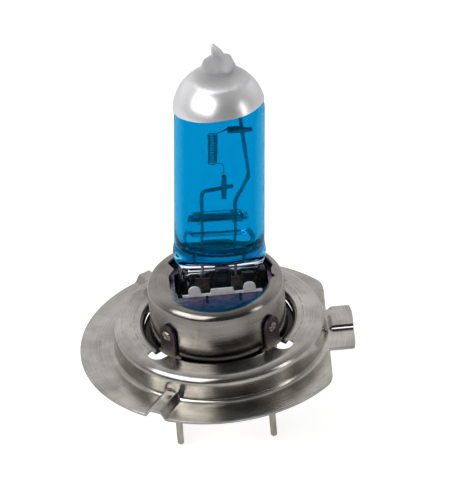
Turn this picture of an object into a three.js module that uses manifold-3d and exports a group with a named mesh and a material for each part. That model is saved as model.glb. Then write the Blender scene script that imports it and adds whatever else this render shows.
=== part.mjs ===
// A 12 V halogen headlight bulb with a two-blade base: a pinched quartz capsule, its filament and
// leads, the spring clip that grips the pinch, and the steel collar and flange that seat the bulb
// in a lamp. Millimetres, +Z towards the glass tip, +X towards the keying lug of the flange.
// The origin is on the cap axis, in the plane of the flange's seating face.

import * as THREE from 'three';
import { mergeVertices } from 'three/addons/utils/BufferGeometryUtils.js';
import Module from 'manifold-3d';

const wasm = await Module();
wasm.setup();

// ---------------------------------------------------------------- driving dimensions

const SHEET = 0.4; // thickness of the stamped steel pieces
const HALF = SHEET / 2;
const GAP = 0.3; // clearance between pieces that touch or are fitted in one another
const ROUND = 48; // flat sides that stand for a full turn of sheet metal
const CAPSULE_ROUND = 30; // and of the glass

const BRIM = { radius: 17.06, x: -0.3, chordX: 13.3, cornerRadius: 1.2 };
const LUG = {
  tipX: 16.5, front: -3.8, split: 0.2, slit: 0.12, rear: 4.4, chamfer: 0.5, step: 0.5, ramp: 0.6,
};
const CENTRING = { radius: 13.0, top: 3.5, mouthRadius: 9.2, lip: 0.9 }; // raised ring of the flange
const RIB = { angles: [120.5, -120.5], width: 1.5, foot: 3.0, height: 0.95, from: 12.7 };
const SUNK = 0.05; // how deep an added feature starts inside the sheet that carries it
const TAB = { angles: [43, 137.5, -137.5, -43], width: 2.5, inner: 8.5, top: 7.0, weldZ: 5.6 };
const SLOT = { angles: [41.4, 140, -140, -41.4], width: 2.7, inner: 8.6, outer: 11.4 };

const COLLAR = { radius: 8.4, foot: 9.3, bottom: 1.9, top: 9.6, shoulder: 1.2, lipRadius: 5.2, lipZ: 9.2 };
const RELIEF = { inner: 7.5, outer: 9.8, halfWidth: 1.7, top: 2.8 }; // cut out of the foot at each tab
const MOUTH = { radius: 6.85, start: 228, end: 346, rearStart: 42, rearEnd: 146 };
const MOUTH_RIGHT = [[7.55, -0.63], [7.0, -0.44], [6.94, 0.65], [7.38, 2.08], [6.9, 3.3]];
const MOUTH_LEFT = [[-4.9, 2.9], [-5.68, 1.36], [-5.57, -1.24], [-4.75, -2.3]];

const BLADE = { width: 6.3, thickness: 0.8, spacing: 11.57, x: -0.25, bottom: -13.7, top: 1.2, chamfer: 1 };
const TANG = { inset: 0.1, shoulder: -6.2, top: -0.2, tailHalf: 1.2 }; // the blade's root, inset all round
// The ceramic is a disc inside the collar, with a stem below it that carries the blades.
const BASE = { top: 5.2, bottom: 2.9, stemBottom: -6.0, stemLeft: -6.55, stemRight: 6.9, stemHalfY: 4.4 };
const POCKET = { floor: -0.6, step: 1.2, front: -2.4, rear: 3.1, left: -5.4, right: 6.3 }; // for the pinch

const CLIP = { x: 0.75, plateZ: 8.0, plate: 0.3, radius: 7.5, front: -2.1, rear: 3.3, halfWidth: 5.75 };
const FINGER = { width: 1.5, spacing: 6.76, height: 2.4 };

// The capsule leans on the cap, as the bulb maker leaves it after setting the filament.
const LEAN = { x: -0.15, backDeg: 5.8, rightDeg: 4.55, twistDeg: 5 };
const TUBE = { radius: 5.55, wall: 0.95, footZ: 11.0, floorZ: 13.5, domeZ: 32.3 };
const NECK = { radius: 1.85, z: 37.9 };
const TIP = { foot: 0.95, end: 0.22, z: 41.3, lean: -0.73 };
const COAT = { thickness: 0.12, clearance: 0.03, edgeZ: 33.15, slopeX: 0.12, slopeY: -0.075 };
const PINCH = { x: 0.32, width: 10.5, edge: 3.1, web: 2.2, bottom: 2.0, ridge: 1.5 };
const BRIDGE = { width: 7.6, depth: 2.8, bottom: 15.4, top: 17.9 };

const COIL = { x: -0.82, radius: 0.54, bottom: 25.0, turns: 18, pitch: 0.228, wire: 0.12 };
const LEAD = { wire: 0.5, tail: 0.36, longX: 1.93, shortX: -2.17, bend: 0.7 };
const FOIL = { width: 1.8, thickness: 0.12, bottom: 4.2, top: 9.2 };
const CRIMP = { outer: 0.62, inner: 0.34, length: 3.15 };

// ---------------------------------------------------------------- materials

const metal = (color, roughness) => new THREE.MeshStandardMaterial({ color, roughness, metalness: 1 });
const solid = (color, roughness) => new THREE.MeshStandardMaterial({ color, roughness, metalness: 0 });

const steel = metal(0x9c978c, 0.38);
const weldBlue = metal(0x3a3238, 0.45);
const temperedSteel = metal(0x5d5a78, 0.35);
const springSteel = metal(0xc9c7c2, 0.25);
const blueGlass = solid(0x0a8ccc, 0.05);
const clearGlass = solid(0xdfe6ea, 0.05);
const silver = metal(0xd4d4d6, 0.35);
const molybdenum = metal(0x55585c, 0.4);
const tungsten = metal(0x6a6a6e, 0.5);
const foilMetal = metal(0x8c7a66, 0.35);
const ceramic = solid(0xe4dfd2, 0.7);
const tinned = metal(0xa9a59a, 0.35);

// ---------------------------------------------------------------- shape helpers

const turn = (degrees) => THREE.MathUtils.degToRad(degrees);

/** The closed solid of a geometry, for joining and cutting. */
function toSolid(geometry) {
  const bare = geometry.clone();
  bare.deleteAttribute('normal');
  bare.deleteAttribute('uv');
  const { attributes, index } = mergeVertices(bare, 1e-5);
  const triangles = [];
  for (let i = 0; i < index.count; i += 3) {
    const [a, b, c] = [index.getX(i), index.getX(i + 1), index.getX(i + 2)];
    if (a !== b && b !== c && c !== a) triangles.push(a, b, c);
  }
  const vertProperties = new Float32Array(attributes.position.array);
  const triVerts = new Uint32Array(triangles);
  return new wasm.Manifold(new wasm.Mesh({ numProp: 3, vertProperties, triVerts }));
}

/** The geometry of a joined or cut solid. */
function toGeometry(body) {
  const { vertProperties, triVerts } = body.getMesh();
  const geometry = new THREE.BufferGeometry();
  geometry.setAttribute('position', new THREE.BufferAttribute(vertProperties, 3));
  geometry.setIndex(new THREE.BufferAttribute(triVerts, 1));
  geometry.computeVertexNormals();
  return geometry;
}

/** A body of revolution about Z, from [radius, height] pairs that run up its outside. */
function revolve(profile, sides = ROUND) {
  const points = profile.map(([radius, height]) => new THREE.Vector2(radius, height));
  return new THREE.LatheGeometry(points, sides).rotateX(Math.PI / 2);
}

/** A box between two corners. */
function block([x0, y0, z0], [x1, y1, z1]) {
  const box = new THREE.BoxGeometry(x1 - x0, y1 - y0, z1 - z0);
  return box.translate((x0 + x1) / 2, (y0 + y1) / 2, (z0 + z1) / 2);
}

/** A flat outline raised from one height to another. */
function prism(shape, bottom, top, curveSegments = 12) {
  const settings = { depth: top - bottom, bevelEnabled: false, curveSegments };
  return new THREE.ExtrudeGeometry(shape, settings).translate(0, 0, bottom);
}

const polygon = (corners) => new THREE.Shape(corners.map(([x, y]) => new THREE.Vector2(x, y)));

/** A line through [x, y, radius] corners, with each corner rounded to its radius. */
function roundedLine(corners, arcSteps = 3) {
  const at = corners.map(([x, y]) => new THREE.Vector2(x, y));
  const line = [at[0]];
  for (let i = 1; i < corners.length - 1; i++) {
    const back = at[i - 1].clone().sub(at[i]).normalize();
    const ahead = at[i + 1].clone().sub(at[i]).normalize();
    const half = Math.acos(THREE.MathUtils.clamp(back.dot(ahead), -1, 1)) / 2;
    const radius = corners[i][2] ?? 0;
    const reach = radius / Math.tan(half);
    const centre = back.clone().add(ahead).normalize().multiplyScalar(radius / Math.sin(half)).add(at[i]);
    const first = back.multiplyScalar(reach).add(at[i]).sub(centre);
    const last = ahead.multiplyScalar(reach).add(at[i]).sub(centre);
    const sweep = Math.atan2(first.cross(last), first.dot(last));
    for (let k = 0; k <= arcSteps && radius > 0; k++) {
      line.push(first.clone().rotateAround(new THREE.Vector2(), (sweep * k) / arcSteps).add(centre));
    }
    if (radius === 0) line.push(at[i]);
  }
  return [...line, at[at.length - 1]];
}

/** The closed section of a bent sheet whose middle follows the rounded line through the corners. */
function sheetSection(corners, thickness = SHEET) {
  const line = roundedLine(corners);
  const side = (distance) => line.map((point, i) => {
    const before = line[Math.max(i - 1, 0)];
    const after = line[Math.min(i + 1, line.length - 1)];
    const along = after.clone().sub(before).normalize();
    return [point.x + along.y * distance, point.y - along.x * distance];
  });
  const outside = side(thickness / 2);
  return [...outside, ...side(-thickness / 2).reverse(), outside[0]];
}

/** A path of straight runs joined by bends. */
function bentPath(points, bend) {
  const path = new THREE.CurvePath();
  const at = points.map((point) => new THREE.Vector3(...point));
  let from = at[0];
  for (let i = 1; i < at.length - 1; i++) {
    const enter = at[i - 1].clone().sub(at[i]).setLength(bend).add(at[i]);
    const leave = at[i + 1].clone().sub(at[i]).setLength(bend).add(at[i]);
    path.add(new THREE.LineCurve3(from, enter));
    path.add(new THREE.QuadraticBezierCurve3(enter, at[i], leave));
    from = leave;
  }
  path.add(new THREE.LineCurve3(from, at[at.length - 1]));
  return path;
}

/** A round wire along a path. */
function wire(path, diameter, steps, sides = 8) {
  const section = new THREE.Shape();
  for (let i = 0; i < sides; i++) {
    const angle = (i / sides) * 2 * Math.PI;
    const [x, y] = [(Math.cos(angle) * diameter) / 2, (Math.sin(angle) * diameter) / 2];
    if (i === 0) section.moveTo(x, y);
    else section.lineTo(x, y);
  }
  section.closePath();
  return new THREE.ExtrudeGeometry(section, { steps, extrudePath: path, bevelEnabled: false });
}

/** A sleeve with an open bore, centred on the origin and lying along Z. */
function sleeve(outerDiameter, innerDiameter, length) {
  const [outer, inner, half] = [outerDiameter / 2, innerDiameter / 2, length / 2];
  return revolve([[inner, -half], [outer, -half], [outer, half], [inner, half], [inner, -half]], 12);
}

/** A named piece in a parent group. */
function piece(parent, name, geometry, material) {
  const mesh = new THREE.Mesh(geometry, material);
  mesh.name = name;
  parent.add(mesh);
  return mesh;
}

// ---------------------------------------------------------------- cap: flange, collar, tabs

/** The brim seen from above: a disc with one chord cut off, where the keying lug stands out. */
function brimOutline(grow = 0) {
  const { radius, x, chordX, cornerRadius } = BRIM;
  const half = Math.acos((chordX - x) / radius);
  const cut = cornerRadius / radius;
  const shape = new THREE.Shape();
  shape.absarc(x, 0, radius + grow, half + cut, 2 * Math.PI - half - cut, false);
  const cornerY = radius * Math.sin(half);
  shape.quadraticCurveTo(chordX, -cornerY, chordX, -cornerY + cornerRadius);
  shape.lineTo(chordX, LUG.front);
  shape.lineTo(LUG.tipX - LUG.chamfer, LUG.front);
  shape.lineTo(LUG.tipX, LUG.front + LUG.chamfer);
  shape.lineTo(LUG.tipX, LUG.rear - LUG.chamfer);
  shape.lineTo(LUG.tipX - LUG.chamfer, LUG.rear);
  shape.lineTo(chordX, LUG.rear);
  shape.lineTo(chordX, cornerY - cornerRadius);
  shape.quadraticCurveTo(chordX, cornerY, ...cornerEnd(half + cut));
  return shape;
}

const cornerEnd = (angle) => [
  BRIM.x + BRIM.radius * Math.cos(angle),
  BRIM.radius * Math.sin(angle),
];

/** One pressed rib of the brim: a low arch that runs outwards from the centring ring. */
function rib(angle) {
  const { width, foot, height, from } = RIB;
  const arch = (side, bottom, top) => {
    const section = polygon([[-foot / 2 + side, bottom], [foot / 2 - side, bottom],
      [width / 2 - side, top], [-width / 2 + side, top]]);
    return new THREE.ExtrudeGeometry(section, { depth: BRIM.radius + 2 - from, bevelEnabled: false })
      .rotateX(Math.PI / 2).rotateZ(Math.PI / 2).translate(from, 0, 0).rotateZ(turn(angle));
  };
  return { skin: toSolid(arch(0, -SHEET + SUNK, height)), hollow: toSolid(arch(0.3, -1, height - SHEET)) };
}

/** The flange with the rear half of its lug joggled up by a step, beside a lanced slit. */
function joggleLug(ring) {
  const { split, slit, rear, tipX, step, ramp } = LUG;
  const room = block([BRIM.chordX, split, -1], [tipX + 1, rear + 1, 1]);
  const raised = block([BRIM.chordX + ramp / 2, split + slit, step - SHEET], [tipX + 1, rear + 1, step]);
  const slope = polygon([[-ramp, SUNK - SHEET], [0, SUNK - SHEET], [ramp, step - SHEET + SUNK],
    [ramp, step - SUNK], [ramp / 2, step - SUNK], [-ramp, -SUNK]]);
  const settings = { depth: rear - split - slit - SUNK, bevelEnabled: false };
  const bridge = new THREE.ExtrudeGeometry(slope, settings).rotateX(Math.PI / 2);
  bridge.translate(BRIM.chordX, rear - SUNK, 0);
  return ring.subtract(toSolid(room)).add(toSolid(raised)).add(toSolid(bridge));
}

function flangeRing() {
  const { radius, top, mouthRadius, lip } = CENTRING;
  let ring = toSolid(revolve(sheetSection([
    [mouthRadius + HALF, top - lip], [mouthRadius + HALF, top - HALF, 0.6],
    [radius - HALF, top - HALF, 0.9], [radius - HALF, -HALF, 0.8], [BRIM.radius + 2, -HALF],
  ])));
  for (const angle of RIB.angles) {
    const { skin, hollow } = rib(angle);
    ring = ring.add(skin).subtract(hollow);
  }
  ring = joggleLug(ring);
  ring = ring.intersect(toSolid(prism(brimOutline(), -2, CENTRING.top + 1, 32)));

  for (const angle of SLOT.angles) {
    const slot = new THREE.Shape();
    slot.moveTo(SLOT.inner, -SLOT.width / 2);
    slot.lineTo(SLOT.outer - 1, -SLOT.width / 2);
    slot.quadraticCurveTo(SLOT.outer, -SLOT.width / 2, SLOT.outer, 0);
    slot.quadraticCurveTo(SLOT.outer, SLOT.width / 2, SLOT.outer - 1, SLOT.width / 2);
    slot.lineTo(SLOT.inner, SLOT.width / 2);
    ring = ring.subtract(toSolid(prism(slot, 1, CENTRING.top + 1, 4).rotateZ(turn(angle))));
  }
  for (const angle of TAB.angles) ring = ring.add(weldTab(angle));
  return toGeometry(ring);
}

/** A tab lanced out of the centring ring and bent up against the collar, on a foot of its own. */
function weldTab(angle) {
  const { inner, width, top } = TAB;
  const foot = CENTRING.top - CENTRING.lip;
  const wall = revolve([[inner, foot], [inner + SHEET, foot], [inner + SHEET, top], [inner, top],
    [inner, foot]]);
  const face = new THREE.Shape();
  face.moveTo(-width / 2, foot - 1);
  face.lineTo(width / 2, foot - 1);
  face.lineTo(width / 2, top - width / 2);
  face.absarc(0, top - width / 2, width / 2, 0, Math.PI, false);
  const cutter = new THREE.ExtrudeGeometry(face, { depth: 4, bevelEnabled: false, curveSegments: 8 })
    .rotateX(Math.PI / 2).rotateZ(Math.PI / 2).translate(inner - 2, 0, 0).rotateZ(turn(angle));
  const [from, to] = [inner + SUNK, CENTRING.mouthRadius + HALF];
  const [low, high] = [foot + SUNK, foot + SHEET];
  const floor = revolve([[from, low], [to, low], [to, high], [from, high], [from, low]]);
  const sector = block([0, -width / 2 - 0.9, foot - 1], [12, width / 2 + 0.9, top]);
  const lanced = block([inner + SHEET + 0.03, -width / 2 - 0.1, foot - 1], [12, width / 2 + 0.1, top]);
  const shelf = toSolid(floor).intersect(toSolid(sector.rotateZ(turn(angle))));
  return toSolid(wall).intersect(toSolid(cutter)).add(shelf.subtract(toSolid(lanced.rotateZ(turn(angle)))));
}

function collar() {
  const { radius, foot, bottom, top, shoulder, lipRadius, lipZ } = COLLAR;
  let shell = toSolid(revolve(sheetSection([
    [foot, bottom + HALF], [radius - HALF, bottom + HALF, 0.4], [radius - HALF, top - HALF, shoulder - HALF],
    [radius - shoulder - 0.4, top - HALF, 0.3], [lipRadius, lipZ - HALF],
  ])));
  for (const angle of SLOT.angles) {
    const low = [RELIEF.inner, -RELIEF.halfWidth, bottom - 1];
    const relief = block(low, [RELIEF.outer, RELIEF.halfWidth, RELIEF.top]);
    shell = shell.subtract(toSolid(relief.rotateZ(turn(angle))));
  }
  const mouth = new THREE.Shape();
  mouth.absarc(0, 0, MOUTH.radius, turn(MOUTH.start), turn(MOUTH.end), false);
  for (const corner of MOUTH_RIGHT) mouth.lineTo(...corner);
  mouth.absarc(0, 0, MOUTH.radius, turn(MOUTH.rearStart), turn(MOUTH.rearEnd), false);
  for (const corner of MOUTH_LEFT) mouth.lineTo(...corner);
  return toGeometry(shell.subtract(toSolid(prism(mouth, lipZ - 2, top + 1, 16))));
}

/** The nugget of a spot weld, a low dome on the outside of its tab. */
function weldNugget() {
  const dome = [[0, 0], [0.55, 0], [0.5, 0.1], [0.3, 0.2], [0, 0.24]];
  return revolve(dome, 16).rotateY(Math.PI / 2);
}

// ---------------------------------------------------------------- base: insulator and terminals

/** The ceramic: a disc inside the collar with a pocket for the pinch, and a stem whose open-sided
 *  channels hold the blades. Low in the pocket, the tails of the blades meet the leads. */
function insulator() {
  const { top, bottom, stemBottom, stemLeft, stemRight, stemHalfY } = BASE;
  const { floor, step, front, rear, left, right } = POCKET;
  const inside = COLLAR.radius - SHEET - GAP;
  const disc = toSolid(revolve([[0, bottom], [inside, bottom], [inside, top], [0, top]]));
  const bar = block([stemLeft, -stemHalfY, stemBottom], [stemRight, stemHalfY, bottom + 0.2]);
  const core = inside - SUNK;
  const round = revolve([[0, stemBottom - 1], [core, stemBottom - 1], [core, top], [0, top]]);
  const stem = toSolid(bar).intersect(toSolid(round));
  const reach = BLADE.spacing / 2 - BLADE.thickness / 2 + TANG.inset;
  const lower = block([BLADE.x - reach, front, floor], [BLADE.x + reach, rear, step + 0.1]);
  const upper = block([left, front, step], [right, rear, top + 1]);
  let body = disc.add(stem).subtract(toSolid(lower)).subtract(toSolid(upper));
  const halfX = BLADE.thickness / 2 - TANG.inset + GAP / 2;
  const halfY = BLADE.width / 2 - TANG.inset + GAP / 2;
  const tailY = TANG.tailHalf + GAP / 2;
  for (const side of [-1, 1]) {
    const x = BLADE.x + (side * BLADE.spacing) / 2;
    const [inner, outer] = [x - side * halfX, x + side * (halfX + 1)];
    const [low, high] = [Math.min(inner, outer), Math.max(inner, outer)];
    body = body.subtract(toSolid(block([low, -halfY, stemBottom - 1], [high, halfY, TANG.top + GAP])));
    body = body.subtract(toSolid(block([x - halfX, -tailY, TANG.top], [x + halfX, tailY, step + 0.05])));
  }
  return toGeometry(body);
}

/** A flat strip of the blade's own kind: an outline in Y and Z, with a thickness across X. */
function bladeStrip(corners, thickness) {
  const settings = { depth: thickness, bevelEnabled: false };
  const strip = new THREE.ExtrudeGeometry(polygon(corners), settings);
  strip.rotateX(Math.PI / 2).rotateZ(Math.PI / 2);
  return toSolid(strip.translate(-thickness / 2, 0, 0));
}

/** One 6.3 mm blade: chamfered end, a shoulder under the insulator, and a tang with a narrow tail. */
function terminal() {
  const { width, thickness, bottom, top, chamfer } = BLADE;
  const { inset, shoulder, tailHalf } = TANG;
  const [half, tang, rest] = [width / 2, width / 2 - inset, TANG.top];
  const blade = bladeStrip([[-half + chamfer, bottom], [half - chamfer, bottom], [half, bottom + chamfer],
    [half, shoulder], [-half, shoulder], [-half, bottom + chamfer]], thickness);
  const root = bladeStrip([[-tang, shoulder - 1], [tang, shoulder - 1], [tang, rest], [tailHalf, rest],
    [tailHalf, top], [-tailHalf, top], [-tailHalf, rest], [-tang, rest]], thickness - 2 * inset);
  return toGeometry(blade.add(root));
}

// ---------------------------------------------------------------- clip that grips the pinch

function clipPlate() {
  const { x, plateZ, plate, radius, front, rear, halfWidth } = CLIP;
  const upper = plateZ + plate;
  const disc = toSolid(revolve([[0, plateZ], [radius, plateZ], [radius, upper], [0, upper]]));
  const mouth = block([x - halfWidth, front, plateZ - 1], [x + halfWidth, rear, plateZ + 1]);
  let body = disc.subtract(toSolid(mouth));
  for (const slotX of [-1.15, 2.95]) {
    const relief = block([slotX - 0.15, front - 1.5, plateZ - 1], [slotX + 0.15, front + 0.1, plateZ + 1]);
    body = body.subtract(toSolid(relief));
  }
  return toGeometry(body);
}

/** One leaf of the spring clip: a strip across the pinch, with two arched fingers and a middle tab. */
function springLeaf(y) {
  const { x, plateZ, plate } = CLIP;
  const foot = plateZ - 1.6;
  const low = plateZ + plate + 0.25;
  const face = new THREE.Shape();
  const fingers = [-1, 1].map((side) => x + (side * FINGER.spacing) / 2);
  face.moveTo(x - 4.9, foot);
  face.lineTo(x + 4.9, foot);
  face.lineTo(x + 4.9, low);
  for (const centre of fingers.reverse()) {
    face.lineTo(centre + FINGER.width / 2, low);
    face.lineTo(centre + FINGER.width / 2, foot + FINGER.height);
    face.absarc(centre, foot + FINGER.height, FINGER.width / 2, 0, Math.PI, false);
    face.lineTo(centre - FINGER.width / 2, low);
    if (centre > x) {
      face.lineTo(x + 1.5, low);
      face.lineTo(x + 1.5, low + 0.6);
      face.lineTo(x - 1.5, low + 0.6);
      face.lineTo(x - 1.5, low);
    }
  }
  face.lineTo(x - 4.9, low);
  const settings = { depth: 0.3, bevelEnabled: false, curveSegments: 8 };
  return new THREE.ExtrudeGeometry(face, settings).rotateX(Math.PI / 2).translate(0, y, 0);
}

// ---------------------------------------------------------------- capsule: glass, wires, filament

/** The dome, neck and sealing tip of the capsule on a stem, grown outwards by a coat's thickness. */
function capsuleTop(stem, grow) {
  const [dome, ball, apart] = [TUBE.radius + grow, NECK.radius + grow, NECK.z - TUBE.domeZ];
  const meetZ = (dome ** 2 - ball ** 2 + apart ** 2) / (2 * apart);
  const meetR = Math.sqrt(dome ** 2 - meetZ ** 2);
  const profile = [...stem];
  const arc = (radius, z, from, to, steps) => {
    for (let i = 0; i <= steps; i++) {
      const angle = from + ((to - from) * i) / steps;
      const closes = i === steps && to === Math.PI / 2;
      profile.push([closes ? 0 : radius * Math.cos(angle), z + radius * Math.sin(angle)]);
    }
  };
  arc(dome, TUBE.domeZ, 0, Math.atan2(meetZ, meetR), 7);
  arc(ball, NECK.z, Math.atan2(meetZ - apart, meetR) + 0.15, Math.PI / 2, 5);
  const length = TIP.z + grow - NECK.z - 0.6;
  const beak = new THREE.CylinderGeometry(TIP.end + grow, TIP.foot + grow, length, 14).rotateX(Math.PI / 2);
  const shear = new THREE.Matrix4().makeShear(0, 0, 0, 0, TIP.lean / length, 0);
  beak.applyMatrix4(shear).rotateZ(0.1).translate(TIP.lean / 2 + 0.1, 0, NECK.z + 0.6 + length / 2);
  return toSolid(revolve(profile, CAPSULE_ROUND)).add(toSolid(beak));
}

/** The pinch in plan: a web with a thicker rib at each edge and down the middle. */
function pinchSection() {
  const [w, e, t, r] = [PINCH.width / 2, PINCH.edge / 2, PINCH.web / 2, PINCH.ridge / 2];
  const quarter = [[r, e], [r + 0.3, t], [w - 1.3, t], [w - 1.0, e], [w - 0.3, e], [w, e - 0.3]];
  const mirrored = quarter.map(([x, y]) => [x, -y]).reverse();
  const left = [...quarter, ...mirrored].map(([x, y]) => [-x, -y]);
  const outline = [...mirrored.reverse(), ...quarter.reverse(), ...left.reverse()];
  return polygon(outline.map(([x, y]) => [x + PINCH.x, y]));
}

function glassEnvelope() {
  const { radius, wall, footZ, floorZ, domeZ } = TUBE;
  const stem = [[0, footZ], [radius - 1.2, footZ], [radius - 0.3, footZ + 0.6], [radius + 0.15, footZ + 1.6],
    [radius, footZ + 3.2]];
  const inner = radius - wall;
  const cavity = [[0, floorZ], [inner - 1, floorZ + 0.1], [inner, floorZ + 0.9], [inner, domeZ]];
  for (let i = 1; i <= 6; i++) {
    const angle = (i / 6) * (Math.PI / 2);
    cavity.push([i < 6 ? inner * Math.cos(angle) : 0, domeZ + inner * Math.sin(angle)]);
  }
  let glass = capsuleTop(stem, 0).add(toSolid(prism(pinchSection(), PINCH.bottom, footZ + 1.4)));
  glass = glass.subtract(toSolid(revolve(cavity, CAPSULE_ROUND)));
  for (const x of [LEAD.longX, LEAD.shortX]) {
    const bore = new THREE.CylinderGeometry(0.36, 0.36, 1, 10).rotateX(Math.PI / 2);
    const end = floorZ + 0.5;
    const upper = bore.clone().scale(1, 1, end - FOIL.top).translate(x, 0, (end + FOIL.top) / 2);
    const lower = bore.clone().scale(1, 1, FOIL.bottom + 1 - PINCH.bottom)
      .translate(x, 0, (FOIL.bottom - 1 + PINCH.bottom) / 2);
    const half = FOIL.width / 2 + GAP / 2;
    const pocket = block([x - half, -0.5, FOIL.bottom - 0.4], [x + half, 0.5, FOIL.top + 0.4]);
    glass = glass.subtract(toSolid(upper)).subtract(toSolid(lower)).subtract(toSolid(pocket));
  }
  return toGeometry(glass);
}

/** The silver coat over the dome, neck and tip, down to its slanting edge. */
function silverCoat() {
  const { thickness, clearance, edgeZ, slopeX, slopeY } = COAT;
  const above = block([-9, -9, 0], [9, 9, 12]);
  above.applyMatrix4(new THREE.Matrix4().makeShear(0, slopeX, 0, slopeY, 0, 0)).translate(0, 0, edgeZ);
  const stem = (grow) => [[0, TUBE.domeZ - 4], [TUBE.radius + grow, TUBE.domeZ - 4]];
  const [outer, inner] = [thickness + clearance, clearance];
  const skin = capsuleTop(stem(outer), outer).subtract(capsuleTop(stem(inner), inner));
  return toGeometry(skin.intersect(toSolid(above)));
}

/** The coil with its two tails: one runs to the upper crimp, the other bends down to the lower one. */
function filament() {
  const { x, radius, bottom, turns, pitch } = COIL;
  const perTurn = 8;
  const points = [[0.6, 0.35, 23.4], [0.58, 0.3, 24.3], [0.35, 0.15, 24.85]];
  for (let i = 0; i <= turns * perTurn; i++) {
    const angle = (i / perTurn) * 2 * Math.PI;
    points.push([x + radius * Math.cos(angle), radius * Math.sin(angle), bottom + (i / perTurn) * pitch]);
  }
  points.push([0.35, 0.25, bottom + turns * pitch + 0.1], [1.3, 0.55, bottom + turns * pitch + 0.2]);
  const path = new THREE.CatmullRomCurve3(points.map((point) => new THREE.Vector3(...point)));
  return wire(path, COIL.wire, points.length + 6, 4);
}

/** A lead: a thick wire from a thinner tail that is sealed in the pinch. */
function lead(points, tailX) {
  const top = bentPath([[tailX, 0, BRIDGE.top + 0.4], ...points], LEAD.bend);
  const thick = wire(top, LEAD.wire, 6 + 6 * points.length, 8);
  const tail = new THREE.CylinderGeometry(LEAD.tail / 2, LEAD.tail / 2, BRIDGE.top + 0.5 - FOIL.top, 8);
  tail.rotateX(Math.PI / 2).translate(tailX, 0, (BRIDGE.top + 0.5 + FOIL.top) / 2);
  return toGeometry(toSolid(thick).add(toSolid(tail)));
}

function bridge() {
  const { width, depth, bottom, top } = BRIDGE;
  const shape = new THREE.Shape();
  const round = depth / 2;
  shape.absarc(width / 2 - round - 0.15, 0, round, -Math.PI / 2, Math.PI / 2, false);
  shape.absarc(-width / 2 + round - 0.15, 0, round, Math.PI / 2, (3 * Math.PI) / 2, false);
  let body = toSolid(prism(shape, bottom, top));
  for (const x of [LEAD.longX, LEAD.shortX]) {
    const hole = new THREE.CylinderGeometry(0.34, 0.34, 6, 10).rotateX(Math.PI / 2);
    body = body.subtract(toSolid(hole.translate(x, 0, (bottom + top) / 2)));
  }
  return toGeometry(body);
}

// ---------------------------------------------------------------- assembly

const bulb = new THREE.Group();

piece(bulb, 'flange_ring', flangeRing(), steel);
piece(bulb, 'collar', collar(), steel);
['rear_right', 'rear_left', 'front_left', 'front_right'].forEach((name, i) => {
  const holder = new THREE.Group();
  holder.rotation.z = turn(TAB.angles[i]);
  bulb.add(holder);
  const nugget = piece(holder, `weld_${name}`, weldNugget(), weldBlue);
  nugget.position.set(TAB.inner + SHEET + 0.02, 0, TAB.weldZ);
});

piece(bulb, 'insulator', insulator(), ceramic);
for (const [name, side] of [['terminal_left', -1], ['terminal_right', 1]]) {
  piece(bulb, name, terminal(), tinned).position.x = BLADE.x + (side * BLADE.spacing) / 2;
}

piece(bulb, 'clip_plate', clipPlate(), temperedSteel);
piece(bulb, 'front_spring_leaf', springLeaf(CLIP.front + 0.35), springSteel);
piece(bulb, 'rear_spring_leaf', springLeaf(CLIP.rear - 0.05), springSteel);

const capsule = new THREE.Group();
capsule.position.x = LEAN.x;
capsule.rotation.set(turn(-LEAN.backDeg), turn(LEAN.rightDeg), turn(LEAN.twistDeg));
bulb.add(capsule);

piece(capsule, 'glass_envelope', glassEnvelope(), blueGlass);
piece(capsule, 'silver_top_coat', silverCoat(), silver);
piece(capsule, 'glass_bridge', bridge(), clearGlass);
piece(capsule, 'filament', filament(), tungsten);

const longLead = [[LEAD.longX, 0, 19.7], [3.85, 0.55, 22.8], [3.05, 0.9, 28.4], [2.55, 0.9, 32.6]];
const shortLead = [[LEAD.shortX, 0, 21.2], [1.75, 0.95, 21.2]];
piece(capsule, 'long_lead', lead(longLead, LEAD.longX), molybdenum);
piece(capsule, 'short_lead', lead(shortLead, LEAD.shortX), molybdenum);

const lowerCrimp = piece(capsule, 'lower_crimp', sleeve(CRIMP.outer, CRIMP.inner, CRIMP.length), molybdenum);
lowerCrimp.position.set(0.6, 0.1, 21.6);
const upperCrimp = piece(capsule, 'upper_crimp', sleeve(CRIMP.outer, CRIMP.inner, CRIMP.length), molybdenum);
upperCrimp.position.set(2.6, 0.2, 29.3);
upperCrimp.rotation.set(0, Math.PI / 2, 0);

for (const [name, x, outX] of [['long', LEAD.longX, 4.55], ['short', LEAD.shortX, -5.0]]) {
  const outside = [[x, 0, FOIL.bottom - 0.15], [x, 0, 1.2], [outX, -0.35, 0.35]];
  piece(capsule, `${name}_outer_lead`, wire(bentPath(outside, 0.6), LEAD.wire, 14), tinned);
  const half = FOIL.width / 2;
  const strip = block([x - half, -FOIL.thickness - 0.2, FOIL.bottom], [x + half, -0.2, FOIL.top]);
  piece(capsule, `${name}_foil`, strip, foilMetal);
}

export default bulb;
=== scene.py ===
# %% [markdown]
# # A halogen headlight bulb
# A headlight bulb is a small machine for holding a coil of tungsten in one exact place. A quartz
# capsule keeps the gas in, a bent spring clip grips the capsule, a steel collar holds the clip, and a
# pressed flange seats the collar in the lamp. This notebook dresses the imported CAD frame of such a
# bulb: each cell makes one piece or one finish, as a surface worked out with numpy.

# %% Load the frame
import math

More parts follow.
